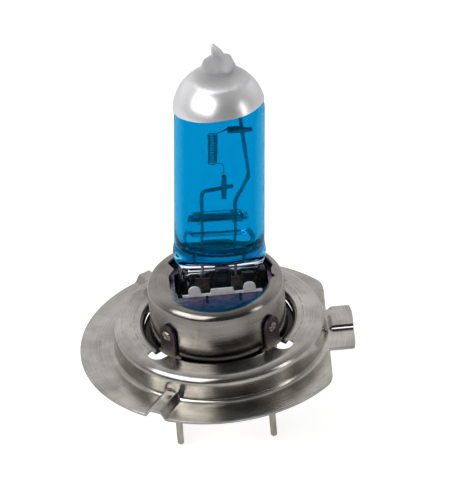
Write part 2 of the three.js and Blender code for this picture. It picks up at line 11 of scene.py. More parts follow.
import bpy
import numpy as np
from mathutils import Matrix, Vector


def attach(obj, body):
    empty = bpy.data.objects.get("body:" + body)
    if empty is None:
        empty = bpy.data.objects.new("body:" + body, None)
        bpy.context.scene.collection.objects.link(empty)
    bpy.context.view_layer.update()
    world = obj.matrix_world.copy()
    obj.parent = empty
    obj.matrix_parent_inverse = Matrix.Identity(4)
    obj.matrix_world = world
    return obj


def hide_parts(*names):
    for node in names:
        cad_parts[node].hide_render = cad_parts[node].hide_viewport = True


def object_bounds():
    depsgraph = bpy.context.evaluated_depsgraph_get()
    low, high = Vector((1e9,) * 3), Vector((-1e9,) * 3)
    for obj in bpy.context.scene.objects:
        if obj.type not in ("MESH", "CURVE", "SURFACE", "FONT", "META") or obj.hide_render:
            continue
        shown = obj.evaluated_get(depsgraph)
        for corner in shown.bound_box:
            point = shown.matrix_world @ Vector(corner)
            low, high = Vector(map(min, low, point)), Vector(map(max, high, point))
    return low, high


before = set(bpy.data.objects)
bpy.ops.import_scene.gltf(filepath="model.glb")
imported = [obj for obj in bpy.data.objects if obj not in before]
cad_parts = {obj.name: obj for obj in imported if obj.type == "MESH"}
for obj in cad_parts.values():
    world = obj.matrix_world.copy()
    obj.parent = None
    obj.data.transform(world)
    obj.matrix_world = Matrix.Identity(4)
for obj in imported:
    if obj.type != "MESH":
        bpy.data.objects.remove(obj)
cad_low, cad_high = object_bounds()
print("CAD box, mm:", [round(1000 * v, 2) for v in (*cad_low, *cad_high)])

# %% [markdown]
# ## Working units
# The frame is in metres and a bulb's drawing is in millimetres, so every shape below is worked out in
# millimetres and scaled once, when its mesh is made. The capsule leans a few degrees in its cap. Its
# pieces are drawn upright, along the capsule's own axis, and turned by one matrix at the end.

# %% The capsule's place in the cap
MM = 0.001
CAPSULE_X = -0.15
LEAN_BACK, LEAN_RIGHT, PINCH_TWIST = 5.8, 4.55, 5.0


def turned(axis, degrees):
    """The 3 by 3 matrix of a turn about x, y or z by the right-hand rule."""
    c, s = math.cos(math.radians(degrees)), math.sin(math.radians(degrees))
    i, j = {"x": (1, 2), "y": (2, 0), "z": (0, 1)}[axis]
    matrix = np.eye(3)
    matrix[i, i], matrix[i, j], matrix[j, i], matrix[j, j] = c, -s, s, c
    return matrix


LEAN = turned("x", -LEAN_BACK) @ turned("y", LEAN_RIGHT)
CAPSULE = LEAN @ turned("z", PINCH_TWIST)


def in_capsule(points):
    """Points drawn on the capsule's upright axis, leaned and moved to where the cap holds them."""
    return points @ CAPSULE.T + np.array([CAPSULE_X, 0, 0])


def in_cap(points):
    """Points of the cap are already in the bulb's frame."""
    return points


# %% [markdown]
# ## From a grid of points to a piece
# A grid of points becomes quads by joining each point to its neighbours in the next row and column.
# A grid may close on itself either way, as a ring or a tube does, and a row whose points all lie on
# the axis closes to a pole when doubled points are merged.

# %% Grid helpers
def grid_quads(rows, columns, close_rows, close_columns):
    """Corner numbers of the quads of a rows by columns grid, wrapping where a direction closes."""
    i = np.arange(rows if close_rows else rows - 1)[:, None]
    j = np.arange(columns if close_columns else columns - 1)[None, :]
    up, right = (i + 1) % rows, (j + 1) % columns
    corners = [i * columns + j, i * columns + right, up * columns + right, up * columns + j]
    return np.stack(np.broadcast_arrays(*corners), axis=-1).reshape(-1, 4)


def signed_volume(points, quads):
    """The volume inside closed quads: positive if their faces point outwards, negative if inwards."""
    a, b, c, d = (points[quads[:, k]] for k in range(4))
    triple = lambda p, q, r: np.einsum("ij,ij->i", p, np.cross(q, r)).sum() / 6
    return triple(a, b, c) + triple(a, c, d)


def make_piece(name, grids, materials, place=in_cap, sharp_deg=38):
    """One mesh from several closed grids: (points, close_rows, close_columns, slots, inwards).

    Slots are one material number, or one for each quad. A shell's faces are turned to point out of
    the material: outwards, or inwards for the wall of a cavity.
    """
    points, quads, slots, start = [], [], [], 0
    for grid, close_rows, close_columns, slot_numbers, inwards in grids:
        rows, columns, _ = grid.shape
        faces = grid_quads(rows, columns, close_rows, close_columns)
        placed = place(grid.reshape(-1, 3))
        if (signed_volume(placed, faces) < 0) != inwards:
            faces = faces[:, ::-1]
        points.append(placed * MM)
        quads.append(faces + start)
        slots.append(np.broadcast_to(slot_numbers, len(faces)))
        start += rows * columns
    mesh = bpy.data.meshes.new(name)
    mesh.from_pydata(np.concatenate(points), [], np.concatenate(quads).tolist())
    mesh.polygons.foreach_set("material_index", np.concatenate(slots).astype(np.int32))
    for material in materials:
        mesh.materials.append(material)
    piece = bpy.data.objects.new(name, mesh)
    bpy.context.scene.collection.objects.link(piece)
    weld = piece.modifiers.new("weld", "WELD")
    weld.merge_threshold = 2e-7
    finish_mesh(piece, sharp_deg)
    return piece


def one_skin(grid):
    """A piece of one grid whose columns go round it and whose first and last rows shut its ends."""
    return [(grid, False, True, 0, False)]


def finish_mesh(piece, sharp_deg):
    """The piece's modifiers are made part of its mesh, flat slivers go, and creases stay sharp."""
    graph = bpy.context.evaluated_depsgraph_get()
    mesh = bpy.data.meshes.new_from_object(piece.evaluated_get(graph))
    piece.modifiers.clear()
    old, name = piece.data, piece.data.name
    piece.data = mesh
    bpy.data.meshes.remove(old)
    mesh.name = name
    mesh.validate()
    mesh.shade_smooth()
    mesh.set_sharp_from_angle(angle=math.radians(sharp_deg))


def settle(piece, slot_name, *nodes):
    """The piece rides on the one body and stands for its CAD nodes, which are hidden; the finish slot name is
    not used.
    """
    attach(piece, "root")
    if nodes:
        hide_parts(*nodes)
    size = [round(1000 * side, 2) for side in piece.dimensions]
    print(f"{piece.name}: {len(piece.data.polygons)} faces, {size} mm")


# %% [markdown]
# ## Lines, sections and sweeps
# Pressed steel is a flat sheet bent along rounded corners. Its section is the line of its middle,
# widened by half the sheet on each side, with a small radius on the cut edges. Wires are a round
# section carried along a path, turned as little as possible from step to step so that it never twists.

# %% Line helpers
def rounded_line(corners, steps=8):
    """A polyline through the corners (x, y, radius), each replaced by an arc of its radius."""
    at = np.array([corner[:2] for corner in corners], float)
    radii = [corner[2] if len(corner) > 2 else 0 for corner in corners]
    line = [at[:1]]
    for before, corner, after, radius in zip(at, at[1:], at[2:], radii[1:]):
        back = (before - corner) / np.linalg.norm(before - corner)
        ahead = (after - corner) / np.linalg.norm(after - corner)
        half = math.acos(np.clip(back @ ahead, -1, 1)) / 2
        middle = (back + ahead) / np.linalg.norm(back + ahead)
        centre = corner + middle * radius / math.sin(half)
        first = corner + back * radius / math.tan(half) - centre
        last = corner + ahead * radius / math.tan(half) - centre
        sweep = math.atan2(first[0] * last[1] - first[1] * last[0], first @ last)
        angle = np.linspace(0, sweep, steps if radius else 1)[:, None]
        normal = np.array([-first[1], first[0]])
        line.append(centre + first * np.cos(angle) + normal * np.sin(angle))
    return np.concatenate([*line, at[-1:]])


def spaced(line, longest):
    """The polyline with extra points so that no step is longer than a length."""
    runs = []
    for a, b in zip(line, line[1:]):
        count = max(1, math.ceil(np.linalg.norm(b - a) / longest))
        runs.append(a + (b - a) * (np.arange(count) / count)[:, None])
    return np.concatenate([*runs, line[-1:]])


def normals_of(line):
    """Unit normals on the left of a polyline in a plane."""
    along = np.gradient(line, axis=0)
    along /= np.linalg.norm(along, axis=1, keepdims=True)
    return np.stack([-along[:, 1], along[:, 0]], axis=1), along


def sheet_section(line, thickness, edge=0.09, arc=3):
    """The closed section of a sheet: its middle line widened both ways, its cut edges rounded."""
    normal, along = normals_of(line)
    half = thickness / 2
    turn = np.linspace(0, math.pi / 2, arc + 1)
    out, across = edge * (np.sin(turn) - 1), half - edge * (1 - np.cos(turn))
    out, across = np.append(out, out[::-1]), np.append(across, -across[::-1])
    end = line[-1] + out[:, None] * along[-1] + across[:, None] * normal[-1]
    start = line[0] - out[:, None] * along[0] - across[:, None] * normal[0]
    inner = line[1:-1]
    left, right = inner + half * normal[1:-1], inner - half * normal[1:-1]
    return np.concatenate([left, end, right[::-1], start])


def revolved(profile, angles):
    """The profile's (radius, height) points carried round the axis: a row for each profile point."""
    radius, height = profile[:, :1], profile[:, 1:]
    x, y = radius * np.cos(angles), radius * np.sin(angles)
    return np.stack([x, y, np.broadcast_to(height, x.shape)], axis=-1)


def around(count):
    """Angles of a full turn in equal steps, without the last that meets the first."""
    return np.arange(count) * (2 * math.pi / count)


def smooth_step(value, low, high):
    """0 under low, 1 over high, and an even curve between them."""
    t = np.clip((value - low) / (high - low), 0, 1)
    return t * t * (3 - 2 * t)


def bent_wire(points, radius, steps=10):
    """A 3-D path of straight runs with each corner cut by a quadratic curve of a given reach."""
    points = np.array(points, float)
    path = [points[:1]]
    t = np.linspace(0, 1, steps)[:, None]
    for before, corner, after in zip(points, points[1:], points[2:]):
        enter = corner + (before - corner) * min(0.5, radius / np.linalg.norm(before - corner))
        leave = corner + (after - corner) * min(0.5, radius / np.linalg.norm(after - corner))
        path.append(enter * (1 - t) ** 2 + corner * 2 * t * (1 - t) + leave * t**2)
    return np.concatenate([*path, points[-1:]])


def frames_along(path):
    """Two unit normals at each point of a path, carried along with the least twist."""
    along = np.gradient(path, axis=0)
    along /= np.linalg.norm(along, axis=1, keepdims=True)
    start = np.cross(along[0], [0.3, 1, 0.2])
    normals = [start / np.linalg.norm(start)]
    for direction in along[1:]:
        normal = normals[-1] - direction * (normals[-1] @ direction)
        normals.append(normal / np.linalg.norm(normal))
    normals = np.array(normals)
    return normals, np.cross(along, normals), along


def swept(path, radii, sides=16, flat=1.0):
    """A round section carried along a path, closed by a domed end at each tip."""
    radii = np.broadcast_to(radii, len(path)).astype(float)
    normal, binormal, along = frames_along(path)
    angle = around(sides)[None, :, None]
    ring = lambda centre, radius, n, b: (
        centre[:, None]
        + radius[:, None, None] * (np.cos(angle) * n[:, None] + flat * np.sin(angle) * b[:, None])
    )
    dome = np.array([1.0, 0.85, 0.5])
    small = np.array([0.0, 0.53, 0.87])
    one = np.ones(3)
    start = ring(path[0] - along[0] * (radii[0] * dome * 0.5)[:, None], radii[0] * small,
                 normal[:1] * one[:, None], binormal[:1] * one[:, None])
    end = ring(path[-1] + along[-1] * (radii[-1] * dome[::-1] * 0.5)[:, None], radii[-1] * small[::-1],
               normal[-1:] * one[:, None], binormal[-1:] * one[:, None])
    return np.concatenate([start, ring(path, radii, normal, binormal), end])


# %% [markdown]
# ## Finishes
# Rolled and pressed steel keeps fine lines from the rolls and the die. Round the cap those lines run in
# circles, so the pattern is read from the radius and height of each point, with the direction round
# the axis stretched until only long streaks are left. The direction is given as a cosine and a sine,
# because an angle would leave a seam where a full turn ends.

# %% Material helpers
def blank(name):
    """A material with its node tree, its Principled shader and its output."""
    material = bpy.data.materials.new(name)
    material.use_nodes = True
    tree = material.node_tree
    return material, tree, tree.nodes["Principled BSDF"]


def add(tree, kind, settings=None, **inputs):
    """A node of a kind, with its settings set and each named input given a value or a link."""
    node = tree.nodes.new(kind)
    for key, value in (settings or {}).items():
        setattr(node, key, value)
    for key, value in inputs.items():
        socket = node.inputs[int(key[1:])] if key[0] == "_" else node.inputs[key.replace("_", " ")]
        if isinstance(value, bpy.types.NodeSocket):
            tree.links.new(value, socket)
        else:
            socket.default_value = value
    return node


def maths(tree, operation, *values):
    """A Math node's result."""
    inputs = {f"_{i}": value for i, value in enumerate(values)}
    return add(tree, "ShaderNodeMath", {"operation": operation}, **inputs).outputs[0]


def ramp(tree, value, stops):
    """A colour ramp's colour, from (place, colour) stops."""
    node = add(tree, "ShaderNodeValToRGB", Fac=value)
    elements = node.color_ramp.elements
    while len(elements) < len(stops):
        elements.new(0.5)
    for element, (place, colour) in zip(elements, stops):
        element.position, element.color = place, (*colour, 1)
    return node.outputs[0]


def blend_colour(tree, amount, first, second):
    """The colour between two colours, by an amount from 0 to 1."""
    node = add(tree, "ShaderNodeMix", {"data_type": "RGBA"})
    for socket, value in ((node.inputs[0], amount), (node.inputs[6], first), (node.inputs[7], second)):
        if isinstance(value, bpy.types.NodeSocket):
            tree.links.new(value, socket)
        else:
            socket.default_value = value if isinstance(value, (int, float)) else (*value, 1)
    return node.outputs[2]


def millimetres(tree):
    """Object coordinates in millimetres."""
    place = add(tree, "ShaderNodeTexCoord").outputs["Object"]
    return add(tree, "ShaderNodeVectorMath", {"operation": "SCALE"}, _0=place, Scale=1000.0).outputs[0]


def noise(tree, place, scale, detail=4.0, roughness=0.55):
    """A noise value at places given in millimetres."""
    node = add(tree, "ShaderNodeTexNoise", Vector=place, Scale=scale, Detail=detail, Roughness=roughness)
    return node.outputs[0]


def turned_lines(tree, place, fine, along):
    """Noise drawn out round the Z axis: fine across the lines, and slow along them."""
    parts = add(tree, "ShaderNodeSeparateXYZ", Vector=place)
    x, y, z = parts.outputs
    squares = maths(tree, "ADD", maths(tree, "MULTIPLY", x, x), maths(tree, "MULTIPLY", y, y))
    radius = maths(tree, "SQRT", squares)
    cosine, sine = maths(tree, "DIVIDE", x, radius), maths(tree, "DIVIDE", y, radius)
    across = add(tree, "ShaderNodeCombineXYZ", X=maths(tree, "MULTIPLY", radius, fine),
                 Y=maths(tree, "MULTIPLY", z, fine), Z=maths(tree, "MULTIPLY", cosine, along))
    node = add(tree, "ShaderNodeTexNoise", {"noise_dimensions": "4D"}, Vector=across.outputs[0],
               W=maths(tree, "MULTIPLY", sine, along), Scale=1.0, Detail=3.0, Roughness=0.6)
    return node.outputs[0]


def bump(tree, height, distance_mm, strength=1.0, normal=None):
    """A bump of a real depth in millimetres."""
    inputs = {"Height": height, "Distance": distance_mm * MM, "Strength": strength}
    if normal is not None:
        inputs["Normal"] = normal
    return add(tree, "ShaderNodeBump", **inputs).outputs[0]


def wire_up(tree, shader, **inputs):
    """Sets or links inputs of a shader by name."""
    for key, value in inputs.items():
        socket = shader.inputs[key.replace("_", " ")]
        if isinstance(value, bpy.types.NodeSocket):
            tree.links.new(value, socket)
        else:
            socket.default_value = value


# %% Steel finishes
def between(tree, value, low, high):
    """0 below low and 1 above high, or the reverse when low is the larger."""
    return add(tree, "ShaderNodeMapRange", {"interpolation_type": "SMOOTHSTEP"}, Value=value,
               From_Min=min(low, high), From_Max=max(low, high),
               To_Min=float(low > high), To_Max=float(low < high)).outputs[0]


def gap_painted_shade(tree, place):
    """Painted shade: how far a point lies inside the gap between collar and flange ring, which is painted
    near-black.

    The radius from the cap's axis comes back with it, for other marks that go round the cap.
    """
    parts = add(tree, "ShaderNodeSeparateXYZ", Vector=place).outputs
    flat = add(tree, "ShaderNodeCombineXYZ", X=parts["X"], Y=parts["Y"]).outputs[0]
    radius = add(tree, "ShaderNodeVectorMath", {"operation": "LENGTH"}, _0=flat).outputs["Value"]
    inside, below = between(tree, radius, 9.75, 9.3), between(tree, parts["Z"], 3.5, 2.8)
    return maths(tree, "MULTIPLY", inside, below), radius


SCRIBED_RADIUS = 10.45


def pressed_steel(name, light, dark, roughness, lines=0.35):
    """Rolled strip that was pressed and spun: circular lines, cloudy stains and a few tiny pits, with painted
    shade in the gap under the ring.
    """
    material, tree, shader = blank(name)
    place = millimetres(tree)
    streaks = turned_lines(tree, place, 16.0, 1.6)
    clouds = noise(tree, place, 0.22, 3.0)
    grain = noise(tree, place, 9.0, 2.0)
    pits = ramp(tree, noise(tree, place, 3.1, 5.0, 0.7),
                [(0.0, (0, 0, 0)), (0.3, (0, 0, 0)), (0.36, (1, 1, 1))])
    mixed = maths(tree, "ADD", maths(tree, "MULTIPLY", streaks, lines),
                  maths(tree, "MULTIPLY", clouds, 1 - lines))
    tone = ramp(tree, mixed, [(0.32, dark), (0.62, light)])
    colour = blend_colour(tree, pits, tuple(0.45 * c for c in dark), tone)
    gap_shade, radius = gap_painted_shade(tree, place)
    # The gap between collar and flange ring is painted near-black: painted shade.
    colour = blend_colour(tree, gap_shade, colour, (0.025, 0.022, 0.022))
    off_line = maths(tree, "ABSOLUTE", maths(tree, "SUBTRACT", radius, SCRIBED_RADIUS))
    dotted = between(tree, noise(tree, place, 2.6, 2.0), 0.45, 0.55)
    on_line = between(tree, off_line, 0.12, 0.04)
    scribed = maths(tree, "MULTIPLY", maths(tree, "MULTIPLY", on_line, dotted), 0.5)
    colour = blend_colour(tree, scribed, colour, (0.12, 0.11, 0.1))
    rough = maths(tree, "ADD", maths(tree, "MULTIPLY", mixed, 0.22), roughness - 0.11)
    height = maths(tree, "ADD", maths(tree, "MULTIPLY", streaks, 0.7), maths(tree, "MULTIPLY", grain, 0.5))
    wire_up(tree, shader, Base_Color=colour, Roughness=rough, Metallic=1.0, Normal=bump(tree, height, 0.012))
    return material


def heat_tint(name, centre, colours, reach):
    """Oxide colours in rings round a weld at centre, from straw through brown to blue-black."""
    material, tree, shader = blank(name)
    place = millimetres(tree)
    away = add(tree, "ShaderNodeVectorMath", {"operation": "DISTANCE"}, _0=place, _1=centre).outputs["Value"]
    ragged = maths(tree, "ADD", maths(tree, "DIVIDE", away, reach),
                   maths(tree, "MULTIPLY", noise(tree, place, 1.6), 0.5))
    colour = ramp(tree, maths(tree, "SUBTRACT", ragged, 0.25), colours)
    rough = maths(tree, "ADD", maths(tree, "MULTIPLY", noise(tree, place, 5.0), 0.25), 0.26)
    wire_up(tree, shader, Base_Color=colour, Roughness=rough, Metallic=1.0,
            Normal=bump(tree, noise(tree, place, 6.0), 0.03))
    return material


def drawn_metal(name, light, dark, roughness, stretch=(1, 1, 0.08), grain=7.0, depth=0.008, metal=1.0):
    """Drawn wire, strip or tube: lines along one direction."""
    material, tree, shader = blank(name)
    place = millimetres(tree)
    drawn = add(tree, "ShaderNodeMapping", Vector=place, Scale=stretch).outputs[0]
    lines = noise(tree, drawn, grain, 4.0)
    tone = ramp(tree, lines, [(0.35, dark), (0.65, light)])
    rough = maths(tree, "ADD", maths(tree, "MULTIPLY", lines, 0.2), roughness - 0.1)
    wire_up(tree, shader, Base_Color=tone, Roughness=rough, Metallic=metal, Normal=bump(tree, lines, depth))
    return material


cap_steel = pressed_steel("cap_steel", (0.57, 0.55, 0.51), (0.25, 0.235, 0.215), 0.17)
collar_steel = pressed_steel("collar_steel", (0.38, 0.36, 0.335), (0.16, 0.15, 0.135), 0.15, 0.5)
temper_plate = drawn_metal("violet_temper_plate", (0.27, 0.23, 0.36), (0.12, 0.1, 0.19), 0.36,
                           (0.4, 1, 1), 2.4)
# Both spring leaves are one steel: the front one's near-white, mostly unmetallic finish is painted sheen, and
# the rear one's near-black finish is painted shade.
front_leaf_painted_sheen = drawn_metal("front_leaf_painted_sheen", (0.95, 0.94, 0.92), (0.8, 0.78, 0.75), 0.3,
                           (0.2, 1, 1), metal=0.25)
rear_leaf_painted_shade = drawn_metal("rear_leaf_painted_shade", (0.1, 0.09, 0.11), (0.05, 0.045, 0.055), 0.4, (0.2, 1, 1))
weld_steel = drawn_metal("weld_steel", (0.34, 0.29, 0.26), (0.16, 0.13, 0.12), 0.22, (1, 1, 1), 3.0)
tungsten = drawn_metal("tungsten_wire", (0.3, 0.3, 0.31), (0.17, 0.17, 0.18), 0.45)
molybdenum = drawn_metal("molybdenum_wire", (0.36, 0.37, 0.39), (0.2, 0.2, 0.22), 0.38)
sealing_foil = drawn_metal("sealing_foil", (0.26, 0.21, 0.17), (0.13, 0.1, 0.08), 0.35, (1, 1, 0.2))
tinned_brass = drawn_metal("tinned_brass", (0.64, 0.61, 0.54), (0.42, 0.39, 0.33), 0.34)


# %% [markdown]
# ## Glass that lets light in
# The capsule's tube has a blue filter coat on its outside only. Light crosses that coat twice on its
# way through the tube, once in and once out, so the coat's own tint is the square root of the colour
# seen. Glass alone would put everything behind it in the dark, since a lamp can't be found through a
# surface that bends light, so rays on their way to a lamp pass by a plain tinted film instead.

# %% Glass finishes
def clear_glass(name, tint, rim=None, wave_mm=0.0):
    """Glass by refraction for what is seen, and a tinted film for rays on their way to a lamp.

    With a rim tint the colour turns paler where the surface turns away: painted reflection, for the brighter
    reflection along the glass's edges.
    """
    material, tree, shader = blank(name)
    tree.nodes.remove(shader)
    glass = add(tree, "ShaderNodeBsdfGlass", Color=(*tint, 1), Roughness=0.0, IOR=1.46)
    # Painted reflection: the tint is paler where the surface turns away.
    if rim:
        away = add(tree, "ShaderNodeLayerWeight", Blend=0.5).outputs["Facing"]
        tree.links.new(ramp(tree, away, [(0.42, tint), (0.88, rim)]), glass.inputs["Color"])
    if wave_mm:
        place = millimetres(tree)
        tree.links.new(bump(tree, noise(tree, place, 0.5, 2.0), wave_mm), glass.inputs["Normal"])
    pale = tuple(0.5 * part + 0.25 for part in tint) if rim else tint
    film = add(tree, "ShaderNodeBsdfTransparent", Color=(*pale, 1))
    rays = add(tree, "ShaderNodeLightPath")
    mix = add(tree, "ShaderNodeMixShader", _0=rays.outputs["Is Shadow Ray"],
              _1=glass.outputs[0], _2=film.outputs[0])
    tree.links.new(mix.outputs[0], tree.nodes["Material Output"].inputs["Surface"])
    return material


BLUE_COAT = (0.01, 0.47, 0.69)
# The blue coat's pale rim tint is painted reflection along its edges.
blue_coat = clear_glass("blue_coated_quartz", BLUE_COAT, rim=(0.62, 0.86, 0.97), wave_mm=0.02)
quartz = clear_glass("clear_quartz", (0.97, 0.98, 1.0), wave_mm=0.03)
bridge_quartz = clear_glass("bridge_quartz", (0.94, 0.97, 0.99))


# %% [markdown]
# The silver coat is a flake paint fired on the dome. It is smooth over the dome and goes rough and
# crackled where it ran into the crease round the neck.

# %% Silver coat and ceramic
def silver_paint(name, neck, crackle_reach):
    """Satin silver, with a crackled band round the neck of the dome."""
    material, tree, shader = blank(name)
    place = millimetres(tree)
    flakes = noise(tree, place, 14.0, 2.0)
    crackle = noise(tree, place, 4.5, 6.0, 0.8)
    away = add(tree, "ShaderNodeVectorMath", {"operation": "DISTANCE"}, _0=place, _1=neck).outputs["Value"]
    near = add(tree, "ShaderNodeMapRange", {"interpolation_type": "SMOOTHSTEP"}, Value=away,
               From_Min=crackle_reach * 0.6, From_Max=crackle_reach, To_Min=1.0, To_Max=0.0).outputs[0]
    tone = ramp(tree, flakes, [(0.3, (0.82, 0.82, 0.835)), (0.7, (0.93, 0.93, 0.94))])
    rough = maths(tree, "ADD", maths(tree, "MULTIPLY", flakes, 0.12), 0.24)
    skin = maths(tree, "ADD", maths(tree, "MULTIPLY", flakes, 0.15), noise(tree, place, 0.6))
    soft = bump(tree, skin, 0.02)
    rippled = bump(tree, maths(tree, "MULTIPLY", crackle, near), 0.6, normal=soft)
    wire_up(tree, shader, Base_Color=tone, Roughness=rough, Metallic=0.7, Normal=rippled)
    return material


def fired_ceramic(name):
    """Unglazed steatite: off-white, faintly speckled, with a dry matt skin, and painted shade that darkens it
    towards the top.
    """
    material, tree, shader = blank(name)
    place = millimetres(tree)
    tone = ramp(tree, noise(tree, place, 1.2, 6.0), [(0.3, (0.66, 0.62, 0.54)), (0.65, (0.82, 0.79, 0.72))])
    specks = ramp(tree, noise(tree, place, 6.0, 3.0), [(0.28, (0, 0, 0)), (0.33, (1, 1, 1))])
    colour = blend_colour(tree, specks, (0.4, 0.36, 0.3), tone)
    # Painted shade: from 0.5 mm up the colour fades to near-black by 2.5 mm, for the pocket inside the
    # collar.
    height = add(tree, "ShaderNodeSeparateXYZ", Vector=place).outputs["Z"]
    colour = blend_colour(tree, between(tree, height, 0.5, 2.5), colour, (0.05, 0.045, 0.045))
    wire_up(tree, shader, Base_Color=colour, Roughness=0.75, Normal=bump(tree, noise(tree, place, 8.0), 0.02))
    return material


NECK_Z = 37.9
neck_place = in_capsule(np.array([0, 0, NECK_Z - 0.4]))
silver_coat = silver_paint("silver_top_paint", tuple(neck_place), 4.2)
ceramic = fired_ceramic("steatite")


# %% [markdown]
# ## The view
# A part is easiest to judge from a little above, along its own height, with almost no perspective.
# A long lens far away gives that. The bulb stands on the ends of its blades on a pale table.

# %% Camera
VIEW_HEIGHT = 59.24
LENS, SENSOR = 700.0, 36.0
TARGET = np.array([1.64, 0.27, 14.43])
VIEW_UP_DEG, VIEW_ROLL_DEG = 34.76, 5.19


def make_camera():
    """A camera at a height angle over the front (-Y) side, rolled a little, aimed at the target."""
    rise, roll = math.radians(VIEW_UP_DEG), math.radians(VIEW_ROLL_DEG)
    towards = np.array([0, -math.cos(rise), math.sin(rise)])
    up = np.array([0, math.sin(rise), math.cos(rise)])
    side = np.array([1.0, 0, 0])
    right = math.cos(roll) * side - math.sin(roll) * up
    top = math.sin(roll) * side + math.cos(roll) * up
    place = TARGET + towards * VIEW_HEIGHT * LENS / SENSOR
    data = bpy.data.cameras.new("camera")
    data.sensor_width, data.lens = SENSOR, LENS
    data.clip_start, data.clip_end = 0.01, 20.0
    camera = bpy.data.objects.new("camera", data)
    bpy.context.scene.collection.objects.link(camera)
    rows = np.eye(4)
    rows[:3, 0], rows[:3, 1], rows[:3, 2], rows[:3, 3] = right, top, towards, place * MM
    camera.matrix_world = Matrix(rows.tolist())
    bpy.context.scene.camera = camera
    return right, top, towards


VIEW_AXES = make_camera()


# %% [markdown]
# ## Table and light
# Bare metal shows the room more than it shows itself. Here the room is dark in front and grows light
# to the rear, with one large soft window high on the left and a narrower one on the right, so each
# bend of the steel gets one bright streak and one dark one. The lamps are placed by the direction
# that their light comes from.

# %% Table, room and lamps
def make_floor():
    """A wide pale table under the ends of the blades."""
    half, low = 0.6, cad_low[2] - 0.00002
    corners = [(-half, -half, low), (half, -half, low), (half, half, low), (-half, half, low)]
    mesh = bpy.data.meshes.new("table")
    mesh.from_pydata(corners, [], [(0, 1, 2, 3)])
    floor = bpy.data.objects.new("table", mesh)
    bpy.context.scene.collection.objects.link(floor)
    material, tree, shader = blank("white_table")
    rays = add(tree, "ShaderNodeLightPath").outputs
    seen = maths(tree, "MAXIMUM", rays["Is Camera Ray"], rays["Is Transmission Ray"])
    strength = maths(tree, "ADD", maths(tree, "MULTIPLY", seen, 0.55), 0.22)
    glow = add(tree, "ShaderNodeEmission", Strength=strength)
    wire_up(tree, shader, Base_Color=(0.6, 0.6, 0.6, 1), Roughness=0.9)
    both = add(tree, "ShaderNodeAddShader", _0=shader.outputs[0], _1=glow.outputs[0])
    tree.links.new(both.outputs[0], tree.nodes["Material Output"].inputs["Surface"])
    mesh.materials.append(material)


def make_lamp(name, view_direction, width, height, distance, power, colour=(1, 1, 1)):
    """A soft window at a direction given along the view's right, up and towards-the-camera axes."""
    direction = sum(part * axis for part, axis in zip(view_direction, VIEW_AXES))
    direction = direction / np.linalg.norm(direction)
    data = bpy.data.lights.new(name, "AREA")
    data.shape, data.size, data.size_y = "RECTANGLE", width, height
    data.energy, data.color = power, colour
    lamp = bpy.data.objects.new(name, data)
    bpy.context.scene.collection.objects.link(lamp)
    side = np.cross([0, 0, 1.0], direction)
    side /= np.linalg.norm(side)
    rows = np.eye(4)
    rows[:3, 0], rows[:3, 1], rows[:3, 2] = side, np.cross(direction, side), direction
    rows[:3, 3] = TARGET * MM + direction * distance
    lamp.matrix_world = Matrix(rows.tolist())
    lamp.visible_camera = False


def make_room(front, rear):
    """A grey room whose light grows from the front (-Y), behind the camera, to the rear."""
    world = bpy.data.worlds.new("room")
    bpy.context.scene.world = world
    world.use_nodes = True
    tree = world.node_tree
    parts = add(tree, "ShaderNodeSeparateXYZ", Vector=add(tree, "ShaderNodeTexCoord").outputs["Generated"])
    depth = maths(tree, "ADD", maths(tree, "MULTIPLY", parts.outputs["Y"], 0.5), 0.5)
    middle = 0.45 * (front + rear)
    stops = [(0.12, (front,) * 3), (0.5, (middle,) * 3), (0.8, (rear,) * 3)]
    tree.links.new(ramp(tree, depth, stops), tree.nodes["Background"].inputs["Color"])


make_floor()
make_room(0.06, 0.8)
make_lamp("left_window", (-0.611, 0.223, 0.760), 0.38, 0.26, 0.38, 1.0)
make_lamp("right_window", (0.88, 0.034, 0.473), 0.1, 0.26, 0.5, 0.22)
bpy.context.scene.view_settings.view_transform = "Standard"
print("camera, table, room and two soft windows are in place")


# %% [markdown]
# ## The flange
# The flange is stamped from 0.4 mm strip: a flat brim that seats in the lamp, a raised ring that
# centres it, and a lug that keys its turn. A lathe could make the ring but not the lug, so the section
# is carried round the axis while its outer end follows the outline. The outline is the nearest of a
# circle, a chord and the sides of the lug, blended where they meet. Two ribs and the joggled half of
# the lug are heights added to both faces of the sheet, as a press would add them.

# %% The flange's outline
SHEET = 0.4
BRIM_RADIUS, BRIM_X, CHORD_X = 17.06, -0.3, 13.3
LUG_TIP, LUG_FRONT, LUG_REAR = 16.5, 3.8, 4.4
RING_RADIUS, RING_TOP, RING_MOUTH, LIP_BOTTOM = 13.0, 3.5, 9.2, 2.6
LUG_SPLIT, LUG_SLIT, LUG_STEP = 0.2, 0.12, 0.5
RIB_ANGLES, RIB_HEIGHT = (120.5, -120.5), 0.95


def soft_least(first, second, blend):
    """The smaller of two values, with a rounded change from one to the other."""
    share = np.clip(0.5 + 0.5 * (second - first) / blend, 0, 1)
    return second * (1 - share) + first * share - blend * share * (1 - share)


def brim_reach(angle):
    """Distance from the axis to the outline at each angle: circle, or the larger of chord and lug."""
    c, s = np.cos(angle), np.sin(angle)
    circle = BRIM_X * c + np.sqrt(BRIM_RADIUS**2 - (BRIM_X * s) ** 2)
    ahead = np.where(c > 0.05, c, 0.05)
    chord = CHORD_X / ahead
    sides = np.where(s > 0, LUG_REAR, LUG_FRONT) / np.maximum(np.abs(s), 0.05)
    lug = soft_least(soft_least(LUG_TIP / ahead, sides, 0.35), circle, 0.12)
    body = soft_least(circle, chord, 0.9)
    return np.where(c > 0.05, -soft_least(-lug, -body, 0.08), circle)


